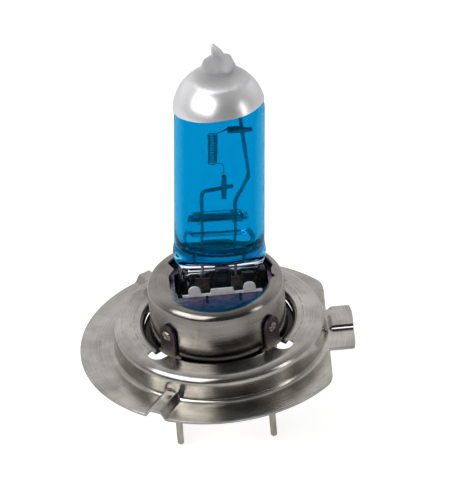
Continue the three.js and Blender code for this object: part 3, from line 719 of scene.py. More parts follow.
def flange_angles():
    """Angles round the flange: close together at the lug, the ribs and the chord's corners."""
    step = lambda low, high, size: np.arange(low, high, size)
    parts = [step(0.0, 0.84, 0.21), [0.85, 1.1], step(1.3, 20, 0.25), step(20, 34, 0.9), step(34, 41, 0.35),
             step(41, 113, 0.9), step(113, 128, 0.3), step(128, 232, 0.9), step(232, 247, 0.3),
             step(247, 319, 0.9), step(319, 326, 0.35), step(326, 340, 0.9), step(340, 360, 0.25)]
    return np.radians(np.concatenate(parts))


# %% The pressed flange
def flange_surface():
    """The sheet's closed section at every angle, its outer end moved to the outline, then pressed.

    A section point beyond the ring's foot slides outwards in proportion, and the rounded edge keeps
    its shape. Ribs raise the brim to a rounded trapezoid; the lug's rear half rises by its step.
    """
    half = SHEET / 2
    line = rounded_line([(RING_MOUTH + half, LIP_BOTTOM), (RING_MOUTH + half, RING_TOP - half, 0.6),
                         (RING_RADIUS - half, RING_TOP - half, 0.9), (RING_RADIUS - half, -half, 0.8),
                         (BRIM_RADIUS, -half)])
    section = sheet_section(spaced(line, 0.34), SHEET)
    angle = flange_angles()
    reach = brim_reach(angle)
    radius, height = section[:, :1], section[:, 1:] + 0 * angle
    foot, edge = RING_RADIUS + 0.62, BRIM_RADIUS - 0.12
    inner = foot + (radius - foot) * (reach - 0.12 - foot) / (edge - foot)
    radius = np.where(radius < foot, radius, np.where(radius < edge, inner, radius + reach - BRIM_RADIUS))
    x, y = radius * np.cos(angle), radius * np.sin(angle)
    for rib in np.radians(RIB_ANGLES):
        across = np.abs(y * np.cos(rib) - x * np.sin(rib))
        facing = x * np.cos(rib) + y * np.sin(rib) > 0
        arch = RIB_HEIGHT * (1 - smooth_step(across, 0.62, 1.45)) * facing
        flat = np.where(section[:, 1:] > -half, 0.0, -SHEET)
        pressed = -soft_least(-height, -(flat + arch), 0.12)
        height = np.where((radius > RING_RADIUS - 0.1) & (arch > 0), pressed, height)
        dent = 0.22 * np.exp(-((across / 0.8) ** 2)) * facing
        on_wall = smooth_step(height, 0.7, 1.2) * (1 - smooth_step(height, 1.6, 2.6))
        shift = 1 - dent * on_wall * (radius > RING_RADIUS - 0.6) / radius
        x, y = x * shift, y * shift
    rise = LUG_STEP * smooth_step(x, CHORD_X, CHORD_X + 0.7) * (angle > math.radians(0.9)) * (y < 6) * (y > 0)
    return np.stack([x, y, height + rise], axis=-1)


def prism_grid(outline, low, high):
    """A closed upright prism as a grid: a pole, the outline low and high, and a pole."""
    centre = outline.mean(axis=0)
    rings = [np.broadcast_to(centre, outline.shape), outline, outline, np.broadcast_to(centre, outline.shape)]
    heights = [low, low, high, high]
    return np.stack([np.column_stack([ring, np.full(len(ring), z)]) for ring, z in zip(rings, heights)])


def turned_flat(points, degrees):
    """Points (x, y) turned about the origin."""
    return points @ turned("z", degrees)[:2, :2].T


# %% Slots and the lug's slit
SLOT_ANGLES = (41.4, 140.0, -140.0, -41.4)


def flange_cutters():
    """Prisms that cut the lug's slit and the four slots that the tabs were bent up from."""
    low_y, high_y = LUG_SPLIT, LUG_SPLIT + LUG_SLIT
    slit = np.array([(13.55, low_y), (17.5, low_y), (17.5, high_y), (13.55, high_y)])
    end = np.radians(np.linspace(-90, 90, 15))
    rounded = np.stack([10.3 + 1.1 * np.cos(end), 1.2 * np.sin(end)], axis=1)
    slot = np.concatenate([[(8.6, -1.35)], rounded, [(8.6, 1.35)]])
    slots = [prism_grid(turned_flat(slot, degrees), 1.0, 5.0) for degrees in SLOT_ANGLES]
    return [(grid, False, True, 0, False) for grid in [prism_grid(slit, -1.0, 5.0), *slots]]


def with_poles(grid):
    """The grid with its first and last rows closed to their middle points."""
    first, last = grid[:1].mean(axis=1, keepdims=True), grid[-1:].mean(axis=1, keepdims=True)
    shape = (1, grid.shape[1], 3)
    return np.concatenate([np.broadcast_to(first, shape), grid, np.broadcast_to(last, shape)])


def cut_away(piece, grids):
    """The piece with closed solids cut out of it by a Boolean modifier that is then applied."""
    cutter = make_piece("cutter", grids, [])
    boolean = piece.modifiers.new("cut", "BOOLEAN")
    boolean.operation, boolean.solver, boolean.object = "DIFFERENCE", "MANIFOLD", cutter
    finish_mesh(piece, 38)
    bpy.data.objects.remove(cutter)


flange = make_piece("stamped_flange", [(flange_surface(), True, True, 0, False)], [cap_steel])
cut_away(flange, flange_cutters())
settle(flange, "cap_steel", "flange_ring")


# %% [markdown]
# ## Tabs and welds
# Four tabs are lanced out of the ring and bent up against the collar, and a spot weld through each
# holds the two together after the bulb has been aimed. The weld leaves a small crater and a bloom of
# brown and blue oxide. A tab is a strip along an upright line, whose half width closes to nothing round
# its top, so one grid gives it both faces and its rounded edge.

# %% Strips with rounded edges
def rounded_band(half_width, half_thickness, edge=0.08, flats=10, arc=4):
    """A rounded rectangle for each given half width and thickness: (across, through) loops.

    Flats are the points along each wide side; the corners are quarter circles that shrink where the
    strip gets narrower than they are.
    """
    half_width = np.atleast_1d(np.asarray(half_width, float))[:, None]
    half_thickness = np.broadcast_to(np.atleast_1d(half_thickness), half_width.shape[:1])[:, None]
    radius = np.minimum(np.minimum(half_width, half_thickness), edge)
    turn = np.linspace(0, math.pi / 2, arc)
    side = np.linspace(-1, 1, flats + 2)[1:-1]
    w, t = half_width - radius, half_thickness - radius
    across = [w * side, w + radius * np.sin(turn), w + radius * np.cos(turn),
              -w * side, -w - radius * np.sin(turn), -w - radius * np.cos(turn)]
    flat = np.ones_like(side)
    through = [-half_thickness * flat, -t - radius * np.cos(turn), t + radius * np.sin(turn),
               half_thickness * flat, t + radius * np.cos(turn), -t - radius * np.sin(turn)]
    return np.concatenate(across, axis=1), np.concatenate(through, axis=1)


# %% Tabs and weld craters
TABS = {"rear_right": 43.0, "rear_left": 137.5, "front_left": -137.5, "front_right": -43.0}
TAB_RADIUS, TAB_TOP, TAB_HALF, WELD_Z = 8.7, 7.0, 1.25, 5.6


def tab_surface(degrees):
    """The strip's upright line in radius and height; each loop across it is wrapped round the axis."""
    line = spaced(np.array([(TAB_RADIUS, LIP_BOTTOM), (TAB_RADIUS, TAB_TOP)]), 0.22)
    run = np.concatenate([[0], np.cumsum(np.linalg.norm(np.diff(line, axis=0), axis=1))])
    last = np.linspace(0, 1, 14)
    reach = run[-1] - TAB_HALF + TAB_HALF * np.sin(last * math.pi / 2)
    reach = np.concatenate([run[run < run[-1] - TAB_HALF - 0.05], reach])
    middle = np.stack([np.interp(reach, run, line[:, k]) for k in (0, 1)], axis=1)
    beyond = np.clip((reach - run[-1] + TAB_HALF) / TAB_HALF, 0, 1)
    half = TAB_HALF * np.sqrt(1 - beyond**2) + 0.6 * (1 - smooth_step(reach, 0.2, 0.4)) + 1e-4
    across, through = rounded_band(half, SHEET / 2)
    normal, _ = normals_of(middle)
    radius = middle[:, :1] - normal[:, :1] * through * np.sign(normal[-1, 0])
    height = middle[:, 1:] - normal[:, 1:] * through * np.sign(normal[-1, 0])
    angle = math.radians(degrees) + across / TAB_RADIUS
    return with_poles(np.stack([radius * np.cos(angle), radius * np.sin(angle), height], axis=-1))


def weld_crater(degrees, seed):
    """A profile that rises to a rim and sinks inside it, a little out of round, laid on the tab."""
    profile = np.array([(0, -0.3), (0.56, -0.3), (0.66, -0.02), (0.6, 0.05), (0.5, 0.12),
                        (0.42, 0.17), (0.34, 0.17),
                        (0.26, 0.09), (0.14, 0.03), (0, 0.02)])
    angle = around(28)
    uneven = 1 + 0.08 * np.sin(2 * angle + seed) + 0.05 * np.sin(5 * angle + 2 * seed)
    across, up = profile[:, :1] * np.cos(angle) * uneven, profile[:, :1] * np.sin(angle) * uneven
    out = TAB_RADIUS + SHEET / 2 + profile[:, 1:] + 0 * angle
    points = np.stack([out, across, WELD_Z + up], axis=-1)
    return points @ turned("z", degrees).T


OXIDES = [(0.0, (0.03, 0.025, 0.03)), (0.3, (0.06, 0.05, 0.065)), (0.5, (0.1, 0.075, 0.085)),
          (0.75, (0.2, 0.15, 0.13)), (1.0, (0.3, 0.27, 0.24))]
for number, (place, degrees) in enumerate(TABS.items()):
    spot = turned("z", degrees) @ np.array([TAB_RADIUS + 0.2, 0, WELD_Z])
    tint = heat_tint(f"oxide_{place}", tuple(spot), OXIDES, 3.0)
    tab = make_piece(f"tab_{place}", one_skin(tab_surface(degrees)), [tint])
    settle(tab, "cap_steel", "flange_ring")
    weld = make_piece(f"weld_crater_{place}", one_skin(weld_crater(degrees, number)), [weld_steel])
    settle(weld, "weld_tint", f"weld_{place}")


# %% [markdown]
# ## The collar
# The collar is a drawn cup with its bottom cut out: a straight wall, a rounded shoulder and a lip that
# dips a little towards the mouth. The mouth isn't round. It is two arcs of one circle joined by steps
# where the clip's ears pass, so every section ends at its own distance from the axis.

# %% The collar's mouth and shell
COLLAR_RADIUS, COLLAR_FOOT, COLLAR_BOTTOM, COLLAR_TOP, SHOULDER = 8.4, 9.3, 1.9, 9.6, 1.2
MOUTH_RADIUS = 6.85
MOUTH_FRONT, MOUTH_REAR = (228.0, 346.0), (42.0, 146.0)
RIGHT_STEPS = [(7.55, -0.63), (7.0, -0.44), (6.94, 0.65), (7.38, 2.08), (6.9, 3.3)]
LEFT_STEPS = [(-4.9, 2.9), (-5.68, 1.36), (-5.57, -1.24), (-4.75, -2.3)]


def mouth_reach(angles):
    """Distance from the axis to the mouth's outline at each angle, read off the outline itself."""
    arc = lambda start, end: MOUTH_RADIUS * np.exp(1j * np.radians(np.linspace(start, end, 60)))
    corners = lambda points: np.array([complex(*point) for point in points])
    line = np.concatenate([arc(MOUTH_FRONT[0] - 360, MOUTH_FRONT[1] - 360), corners(RIGHT_STEPS),
                           arc(*MOUTH_REAR), corners(LEFT_STEPS)])
    line = np.append(line, line[0])
    dense = spaced(np.stack([line.real, line.imag], axis=1), 0.05)
    bearing = np.unwrap(np.arctan2(dense[:, 1], dense[:, 0]))
    start = bearing[0]
    reach = np.interp(start + (angles - start) % (2 * math.pi), bearing, np.hypot(*dense.T))
    width = np.hanning(7) / np.hanning(7).sum()
    return np.convolve(np.concatenate([reach[-3:], reach, reach[:3]]), width, mode="valid")


def sliding_sheet(line, angles, fixed, reach_of, rows=16, edge=0.09, thickness=SHEET):
    """A closed sheet round the axis: its section follows the line, and ends where reach_of says.

    The line's first part, up to the length fixed, is the same at all angles. The rest is cut off at
    the length where its radius equals the reach, and its rows share what is left evenly.
    """
    run = np.concatenate([[0], np.cumsum(np.linalg.norm(np.diff(line, axis=0), axis=1))])
    normal, along = normals_of(line)
    slide = run >= fixed
    order = np.argsort(line[slide, 0])
    end = np.interp(reach_of(angles), line[slide, 0][order], run[slide][order])
    steady = run[run < fixed][:, None] + 0 * angles
    share = np.linspace(0, 1, rows)[:, None]
    at = np.concatenate([steady, fixed + (end - fixed) * share])
    pick = lambda values: np.stack([np.interp(at, run, values[:, k]) for k in (0, 1)], axis=-1)
    middle, across, ahead = pick(line), pick(normal), pick(along)
    half = thickness / 2
    turn = np.linspace(0, math.pi / 2, 4)
    out, wide = edge * (np.sin(turn) - 1), half - edge * (1 - np.cos(turn))
    out, wide = np.append(out, out[::-1]), np.append(wide, -wide[::-1])
    rim = lambda row, sign: (middle[row] + sign * out[:, None, None] * ahead[row]
                             + sign * wide[:, None, None] * across[row])
    section = np.concatenate([middle[1:-1] + half * across[1:-1], rim(-1, 1),
                              (middle - half * across)[-2:0:-1], rim(0, -1)])
    x, y = section[..., 0] * np.cos(angles), section[..., 0] * np.sin(angles)
    return np.stack([x, y, section[..., 1]], axis=-1)


collar_line = spaced(rounded_line([
    (COLLAR_FOOT, COLLAR_BOTTOM + 0.2), (COLLAR_RADIUS - 0.2, COLLAR_BOTTOM + 0.2, 0.4),
    (COLLAR_RADIUS - 0.2, COLLAR_TOP - 0.2, SHOULDER - 0.2),
    (COLLAR_RADIUS - SHOULDER - 0.4, COLLAR_TOP - 0.2, 0.5), (4.6, COLLAR_TOP - 0.85)], steps=12), 0.5)
straight = COLLAR_TOP - COLLAR_BOTTOM + 0.85
shell = sliding_sheet(collar_line, around(540), straight, mouth_reach, rows=22)
collar = make_piece("drawn_collar", [(shell, True, True, 0, False)], [collar_steel])
relief = np.array([(7.5, -1.7), (9.8, -1.7), (9.8, 1.7), (7.5, 1.7)])
cut_away(collar, [(prism_grid(turned_flat(relief, angle), 1.0, 2.8), False, True, 0, False)
                  for angle in SLOT_ANGLES])
settle(collar, "cap_steel", "collar")


# %% [markdown]
# ## The clip
# Inside the collar a plate carries two bright spring leaves that squeeze the pinch from front and
# rear. Tempering left the plate violet-blue. Each leaf is a strip whose upper edge is a function of
# its length: low where it is plain, a square tab in the middle, and a round finger on either side.

# %% Clip plate
CLIP_X, PLATE_Z, PLATE, PLATE_RADIUS = 0.75, 8.0, 0.3, 7.5


def plate_profile():
    """Half the plate's section, from the axis under the sheet to the axis over it."""
    turn = np.linspace(-math.pi / 2, math.pi / 2, 7)
    radius = np.concatenate([[0, 3, 6, 7], PLATE_RADIUS - 0.15 + 0.15 * np.cos(turn), [7, 6, 3, 0]])
    height = np.concatenate([[0] * 4, 0.15 + 0.15 * np.sin(turn), [PLATE] * 4])
    return np.stack([radius, PLATE_Z + height], axis=1)


def box_outline(x0, x1, y0, y1, radius):
    """A rectangle with rounded corners."""
    loop = rounded_band((x1 - x0) / 2, (y1 - y0) / 2, radius, flats=2)
    return np.stack([loop[0][0] + (x0 + x1) / 2, loop[1][0] + (y0 + y1) / 2], axis=1)


plate = make_piece("clip_plate_sheet", one_skin(revolved(plate_profile(), around(160))), [temper_plate])
openings = [box_outline(CLIP_X - 5.75, CLIP_X + 5.75, -2.1, 3.3, 0.5),
            box_outline(-1.3, -1.0, -3.7, -1.9, 0.14), box_outline(2.8, 3.1, -3.7, -1.9, 0.14)]
cut_away(plate, [(prism_grid(outline, 7.0, 9.0), False, True, 0, False) for outline in openings])
settle(plate, "tempered_steel", "clip_plate")


# %% Spring leaves
def leaf_surface(y, low=6.4, plain=8.55, tab=9.15, finger=9.0):
    """Front and rear faces of a strip between its foot and its upper edge, closed all round."""
    x = np.linspace(CLIP_X - 4.9, CLIP_X + 4.9, 393)
    top = np.full_like(x, plain) + (tab - plain) * (smooth_step(x, CLIP_X - 1.5, CLIP_X - 1.35)
                                                    - smooth_step(x, CLIP_X + 1.35, CLIP_X + 1.5))
    for centre in (CLIP_X - 3.38, CLIP_X + 3.38):
        off = np.clip(np.abs(x - centre) / 0.76, 0, 1)
        top = np.maximum(top, plain + (finger - plain + 0.75 * np.sqrt(1 - off**2)) * (off < 1))
    share = np.array([0, 0.02, 0.3, 0.6, 0.8, 0.93, 0.985, 1.0])[:, None]
    up = low + (top - low) * share
    depth = 0.15 * np.array([0.3, 1, 1, 1, 1, 1, 0.8, 0.3])[:, None] + 0 * x
    face = lambda sign, rows: np.stack([x + 0 * up, y + sign * depth, up], axis=-1)[rows]
    loop = np.concatenate([face(-1, slice(None)), face(1, slice(None, None, -1))]).transpose(1, 0, 2)
    return with_poles(loop)


# The front leaf carries painted sheen and the rear leaf painted shade.
for place, y, node, strip in (("front", -1.9, "front_spring_leaf", front_leaf_painted_sheen),
                              ("rear", 3.1, "rear_spring_leaf", rear_leaf_painted_shade)):
    leaf = make_piece(f"{place}_leaf", one_skin(leaf_surface(y)), [strip])
    settle(leaf, "spring_steel", node)


# %% [markdown]
# ## The quartz capsule
# The capsule starts as a quartz tube. One end is drawn out to a tip and sealed, and the other is
# heated and squeezed flat between two jaws, which seal the leads in and print their relief on the
# glass. So one loft makes it: each height has a half width, a half depth and a squareness, round in
# the tube and nearly square in the pinch. A second, inward-facing surface is the wall of the cavity,
# and the light bends where it passes each of them.

# %% Lofts
TUBE_RADIUS, DOME_Z = 5.55, 32.3
FILTER_EDGE = 11.6


def squared_loop(half_x, half_y, power, turn):
    """Points where |x/a|^n + |y/b|^n = 1, at directions (cos, sin) in the stretched plane."""
    c, s = np.cos(turn), np.sin(turn)
    size = (np.abs(c) ** power + np.abs(s) ** power) ** (-1 / power)
    return half_x * size * c, half_y * size * s


def loft(heights, half_x, half_y, power, centre_x, columns):
    """A closed loft: one squared loop for each height, and a pole at each end."""
    column = lambda values: np.asarray(values, float)[:, None]
    turn = around(columns)[None, :]
    x, y = squared_loop(column(half_x), column(half_y), column(power), turn)
    return np.stack([x + column(centre_x), y, column(heights) + 0 * x], axis=-1)


# %% Glass envelope
PINCH_HALF, PINCH_X, PINCH_DEPTH = 5.3, 0.32, 1.5


def envelope_outside():
    """The tube and the pinch in one loft, with the jaws' print pushed into the pinch's faces."""
    shape = np.array([
        # height, half width, half depth, squareness, middle
        (2.0, 4.9, 1.1, 5, PINCH_X), (2.25, 5.2, 1.4, 7, PINCH_X), (2.7, PINCH_HALF, PINCH_DEPTH, 8, PINCH_X),
        (10.2, PINCH_HALF, PINCH_DEPTH, 8, PINCH_X), (10.8, 5.1, 1.45, 7, 0.28), (11.15, 5.05, 1.45, 6, 0.2),
        (11.5, 5.42, 1.6, 4.5, 0.1), (11.9, 5.62, 2.0, 3.4, 0.05), (12.4, 5.74, 3.2, 2.6, 0),
        (13.0, 5.72, 4.6, 2.2, 0),
        (13.6, 5.62, 5.35, 2, 0), (14.2, TUBE_RADIUS, TUBE_RADIUS, 2, 0),
        (DOME_Z, TUBE_RADIUS, TUBE_RADIUS, 2, 0)])
    low = np.concatenate([np.linspace(2.0, 2.7, 6), np.arange(2.9, 10.2, 0.28), np.arange(10.2, 14.4, 0.14)])
    heights = np.concatenate([low, np.linspace(14.6, DOME_Z, 22)])
    halves = [np.interp(heights, shape[:, 0], shape[:, k]) for k in range(1, 5)]
    weights = [0.1, 0.2, 0.4, 0.2, 0.1]
    soften = lambda values: np.convolve(np.pad(values, 2, mode="edge"), weights, mode="valid")
    half_x, half_y, power, middle = (soften(values) for values in halves)
    rise = np.linspace(0, math.pi / 2, 16)[1:]
    heights = np.concatenate([heights, DOME_Z + TUBE_RADIUS * np.sin(rise)])
    cap = np.maximum(TUBE_RADIUS * np.cos(rise), 1e-6)
    extend = lambda values, more: np.concatenate([values, more])
    grid = loft(heights, extend(half_x, cap), extend(half_y, cap), extend(power, 2 + 0 * cap),
                extend(middle, 0 * cap), 192)
    return with_poles(pinch_print(grid))


def window(value, low, high, soft):
    """1 between two limits and 0 outside them, with soft edges."""
    return smooth_step(value, low - soft, low + soft) - smooth_step(value, high - soft, high + soft)


def pinch_print(grid):
    """The faces of the pinch sunk between its edges and its middle ridge, deepest at two windows."""
    x, y, z = np.moveaxis(grid, -1, 0)
    inside = 1 - smooth_step(z, 10.9, 11.3)
    web = window(x - PINCH_X, -4.3, -0.85, 0.16) + window(x - PINCH_X, 0.85, 4.3, 0.16)
    panes = window(x, -4.4, -2.1, 0.14) * window(z, 8.9, 10.2, 0.14)
    panes = panes + window(x, 2.4, 4.7, 0.14) * window(z, 9.2, 10.6, 0.14)
    on_face = smooth_step(np.abs(y), 0.9, 1.3)
    depth = inside * on_face * (0.36 * web * window(z, 2.8, 10.7, 0.2) + 0.3 * panes)
    return np.stack([x, y - np.sign(y) * depth, z], axis=-1)


def cavity_wall():
    """The inside of the tube: flat where the pinch closed it, round above, and domed at the top."""
    heights = np.array([12.95, 13.0, 13.15, 13.4, 13.8, 14.3, 14.9, 15.5, 20, 26, DOME_Z])
    half_x = np.array([1e-6, 1.8, 3.0, 3.75, 4.2, 4.45, 4.57, 4.6, 4.6, 4.6, 4.6])
    half_y = np.array([1e-6, 0.6, 1.15, 1.8, 2.75, 3.6, 4.3, 4.6, 4.6, 4.6, 4.6])
    fine = np.concatenate([np.linspace(12.95, 15.5, 24), np.linspace(16.2, DOME_Z, 12)])
    rise = np.linspace(0, math.pi / 2, 14)[1:]
    cap = np.maximum(4.6 * np.cos(rise), 1e-6)
    values = [np.concatenate([np.interp(fine, heights, half), cap]) for half in (half_x, half_y)]
    heights = np.concatenate([fine, DOME_Z + 4.6 * np.sin(rise)])
    return with_poles(loft(heights, *values, 2 + 0 * heights, 0 * heights, 144))


outside = envelope_outside()
middle_z = 0.5 * (outside[:-1, 0, 2] + outside[1:, 0, 2])
coated = ((middle_z > FILTER_EDGE) & (middle_z < DOME_Z + 3)).astype(int)
envelope = make_piece("quartz_envelope", [
    (outside, False, True, np.repeat(coated, outside.shape[1]), False),
    (cavity_wall(), False, True, 0, True)], [quartz, blue_coat], in_capsule, 60)
settle(envelope, "blue_glass", "glass_envelope")


# %% [markdown]
# ## The silver top
# The dome is silvered so that no light leaves the lamp unshaped. The coat follows the dome, the crease
# round its neck and the lopsided drip of the sealing tip. It is a loft whose lowest loop is slanted,
# because the tip was dipped at an angle, and whose upper loops drift sideways into the tip.

# %% Silver coat
COAT, COAT_EDGE, COAT_SLOPE_X, COAT_SLOPE_Y = 0.15, 33.15, 0.12, -0.075


def coat_surface():
    """Dome, crease, ball and tip, from [height, radius, drift] stations above a slanting edge."""
    columns = 144
    turn = around(columns)
    radius = TUBE_RADIUS + COAT
    edge = COAT_EDGE + radius * (COAT_SLOPE_X * np.cos(turn) + COAT_SLOPE_Y * np.sin(turn))
    edge = edge + 0.05 * np.sin(3 * turn + 0.6) + 0.03 * np.sin(7 * turn)
    first = np.arcsin((edge - DOME_Z) / radius)
    last = math.acos(2.15 / radius)
    share = np.linspace(0, 1, 40)[:, None]
    rise = first + (last - first) * share
    ring, up = radius * np.cos(rise), DOME_Z + radius * np.sin(rise)
    tip = np.array([
        # height, radius, drift in x, drift in y
        (37.62, 2.04, 0, 0), (37.68, 1.66, 0, 0), (37.8, 1.68, -0.02, -0.02), (38.05, 1.9, -0.05, -0.05),
        (38.4, 2.02, -0.06, -0.06), (38.75, 1.94, -0.06, -0.05), (39.1, 1.68, -0.08, 0),
        (39.35, 1.22, -0.1, 0),
        (39.48, 0.8, -0.14, 0), (39.7, 0.7, -0.2, 0), (40.1, 0.66, -0.34, 0), (40.6, 0.52, -0.55, 0),
        (41.0, 0.38, -0.74, 0), (41.25, 0.24, -0.84, 0), (41.34, 0.1, -0.87, 0)])
    fine = np.concatenate([np.linspace(37.62, 41.0, 60), [41.08, 41.16, 41.23, 41.28, 41.32, 41.34]])
    height, size, drift_x, drift_y = [np.interp(fine, tip[:, 0], tip[:, k])[:, None] for k in range(4)]
    soft = np.array([0.25, 0.5, 0.25])
    smooth = lambda values: np.convolve(np.pad(values[:, 0], 1, mode="edge"), soft, mode="valid")[:, None]
    size, drift_x, drift_y = smooth(size), smooth(drift_x), smooth(drift_y)
    lump = window(height, 37.7, 39.4, 0.25)
    uneven = 1 + lump * (0.05 * np.sin(2 * turn + 0.5) + 0.06 * np.sin(3 * turn - 2.2 + height)
                         + 0.06 * np.sin(5 * turn + 3 * height))
    ridge = 0.3 * window(height, 39.4, 40.9, 0.3) * np.maximum(np.cos(turn + 0.3), 0) ** 4
    beyond = size * (uneven + ridge)
    x = np.concatenate([ring * np.cos(turn), drift_x + beyond * np.cos(turn)])
    y = np.concatenate([ring * np.sin(turn), drift_y + beyond * np.sin(turn)])
    z = np.concatenate([up, height + 0 * turn])
    outer = np.stack([x, y, z], axis=-1)
    lining = TUBE_RADIUS + 0.03
    under = np.linspace(0, 1, 20)[:, None]
    low = np.arcsin((edge - DOME_Z) / lining)
    lift = low + (math.pi / 2 - low) * under
    inner = np.stack([lining * np.cos(lift) * np.cos(turn), lining * np.cos(lift) * np.sin(turn),
                      DOME_Z + lining * np.sin(lift)], axis=-1)
    lip = 0.5 * (outer[:1] + inner[:1]) - [0, 0, 0.05]
    return with_poles(np.concatenate([inner[::-1], lip, outer]))


coat = make_piece("silver_coat_shell", one_skin(coat_surface()), [silver_coat], in_capsule, 60)
settle(coat, "silver_coat", "silver_top_coat")


# %% [markdown]
# ## Filament, leads and bridge
# The filament is the one part that everything else holds still: 18 turns of tungsten, 25 mm above the
# seating face. Its tails go into small molybdenum sleeves, crimped on two leads that a glass bead
# keeps apart. All of these are round sections carried along paths.

# %% Filament
COIL_X, COIL_RADIUS, COIL_LOW, COIL_TURNS, COIL_PITCH, COIL_WIRE = -0.82, 0.54, 25.0, 18, 0.228, 0.12


def filament_path():
    """Lower tail, helix (cos t, sin t, rising by the pitch each turn) and upper tail."""
    t = np.linspace(0, COIL_TURNS, COIL_TURNS * 20 + 1) * 2 * math.pi
    helix = np.stack([COIL_X + COIL_RADIUS * np.cos(t), COIL_RADIUS * np.sin(t),
                      COIL_LOW + t / (2 * math.pi) * COIL_PITCH], axis=1)
    high = COIL_LOW + COIL_TURNS * COIL_PITCH
    lower = bent_wire([(0.6, 0.35, 23.4), (0.58, 0.3, 24.3), (0.35, 0.15, 24.85), (-0.2, 0, 24.95)], 0.25, 5)
    upper = bent_wire([(-0.2, 0.1, high + 0.05), (0.35, 0.25, high + 0.1), (1.3, 0.55, high + 0.2)], 0.25, 5)
    return np.concatenate([lower, helix[1:-1], upper])


coil = make_piece("filament_coil", one_skin(swept(filament_path(), COIL_WIRE / 2, 8)), [tungsten],
                  in_capsule, 60)
settle(coil, "tungsten", "filament")


# %% Leads, crimps, foils and bridge
LEAD_WIRE, TAIL_WIRE, LONG_X, SHORT_X = 0.5, 0.36, 1.93, -2.17
FOIL_LOW, FOIL_HIGH = 4.2, 9.2


def lead_surface(points, tail_x):
    """A thick wire bent through its points, drawn down to a thinner tail inside the pinch."""
    path = bent_wire([(tail_x, 0, FOIL_HIGH - 0.3), (tail_x, 0, 17.0), *points], 0.7, 10)
    path = np.concatenate([path[:1], [(tail_x, 0, z) for z in np.linspace(9.6, 16, 12)], path[1:]])
    thick = smooth_step(path[:, 2], 17.9, 18.4)
    return swept(path, (TAIL_WIRE + (LEAD_WIRE - TAIL_WIRE) * thick) / 2, 16)


def sleeve_surface(centre, direction, length=3.15, outer=0.31, inner=0.17, crimped=0.75):
    """A tube with rounded ends along a direction, squeezed flat in its middle by the crimping jaws."""
    turn = around(20)
    s = np.concatenate([np.linspace(-0.5, 0.5, 25), [0.5, 0.5], np.linspace(0.49, -0.49, 9), [-0.5, -0.5]])
    radius = np.concatenate([np.full(25, outer), [outer - 0.03, inner + 0.03],
                             np.full(9, inner), [inner + 0.03, outer - 0.03]])
    squeeze = 1 - (1 - crimped) * window(np.abs(s), -1, 0.28, 0.05)
    direction = np.array(direction, float) / np.linalg.norm(direction)
    side = np.cross(direction, [0.1, 1.0, 0.2])
    side /= np.linalg.norm(side)
    other = np.cross(direction, side)
    across = radius[:, None] * np.cos(turn) / np.sqrt(squeeze)[:, None]
    through = radius[:, None] * np.sin(turn) * squeeze[:, None]
    middle = np.array(centre) + s[:, None, None] * length * direction
    return middle + across[..., None] * side + through[..., None] * other


def foil_surface(x):
    """A foil strip with feathered edges and a slight ripple along its length."""
    heights = np.linspace(FOIL_LOW, FOIL_HIGH, 24)
    across, through = rounded_band(np.full(24, 0.9), 0.05, 0.05)
    ripple = 0.03 * np.sin(heights * 3.1)[:, None]
    return with_poles(np.stack([x + across, through - 0.26 + ripple, heights[:, None] + 0 * across], axis=-1))


def bridge_surface():
    """A fire-polished bead: a stadium whose ends and edges are rounded by surface tension."""
    heights = np.linspace(-1, 1, 21)
    swell = (1 - np.abs(heights) ** 4) ** 0.25
    across, through = rounded_band(3.8 - 0.55 * (1 - swell) - 1e-3, 1.4 - 0.55 * (1 - swell), 1.3, 14, 9)
    z = 16.65 + 1.25 * heights[:, None] + 0 * across
    return with_poles(np.stack([across - 0.15, through, z], axis=-1))


LONG_POINTS = [(LONG_X, 0, 19.7), (3.85, 0.55, 22.8), (3.05, 0.9, 28.4), (2.55, 0.9, 32.6)]
SHORT_POINTS = [(SHORT_X, 0, 21.2), (1.75, 0.95, 21.2)]
wires = [("long_lead_wire", lead_surface(LONG_POINTS, LONG_X), "long_lead"),
         ("short_lead_wire", lead_surface(SHORT_POINTS, SHORT_X), "short_lead")]
for name, surface, node in wires:
    wire = make_piece(name, one_skin(surface), [molybdenum], in_capsule, 60)
    settle(wire, "molybdenum", node)
for name, centre, direction, node in (("lower_crimp_sleeve", (0.6, 0.1, 21.6), (0, 0, 1), "lower_crimp"),
                                      ("upper_crimp_sleeve", (2.6, 0.2, 29.3), (1, 0, 0), "upper_crimp")):
    sleeve = make_piece(name, [(sleeve_surface(centre, direction), True, True, 0, False)], [molybdenum],
                        in_capsule)
    settle(sleeve, "molybdenum", node)
for name, x in (("long", LONG_X), ("short", SHORT_X)):
    foil = make_piece(f"{name}_foil_strip", one_skin(foil_surface(x)), [sealing_foil], in_capsule)
    settle(foil, "foil", f"{name}_foil")
bead = make_piece("bridge_bead", one_skin(bridge_surface()), [bridge_quartz], in_capsule, 60)
settle(bead, "bridge_glass", "glass_bridge")


# %% [markdown]
# ## The base
# Behind the cap a ceramic disc carries the two blades, and the outer leads run from the pinch to them.
# The blades are 6.3 mm strip with bevelled ends, so that they find their way into a connector. In the
# ceramic they are a little narrower all round, which leaves a shoulder for the disc to sit on.

# %% Ceramic insulator
BLADE_X, BLADE_SPACING = -0.25, 11.57
BLADE_LOW, BLADE_SHOULDER, BLADE_REST, BLADE_TOP = -13.7, -6.2, -0.2, 1.2
BLADE_HALF, BLADE_THICK, TANG_INSET = 3.15, 0.4, 0.1


DISC_LOW, DISC_TOP, DISC_RADIUS = 2.9, 5.2, 7.7
STEM_LOW, STEM_HALF_X, STEM_HALF_Y, STEM_X = -6.0, 6.72, 4.4, 0.175


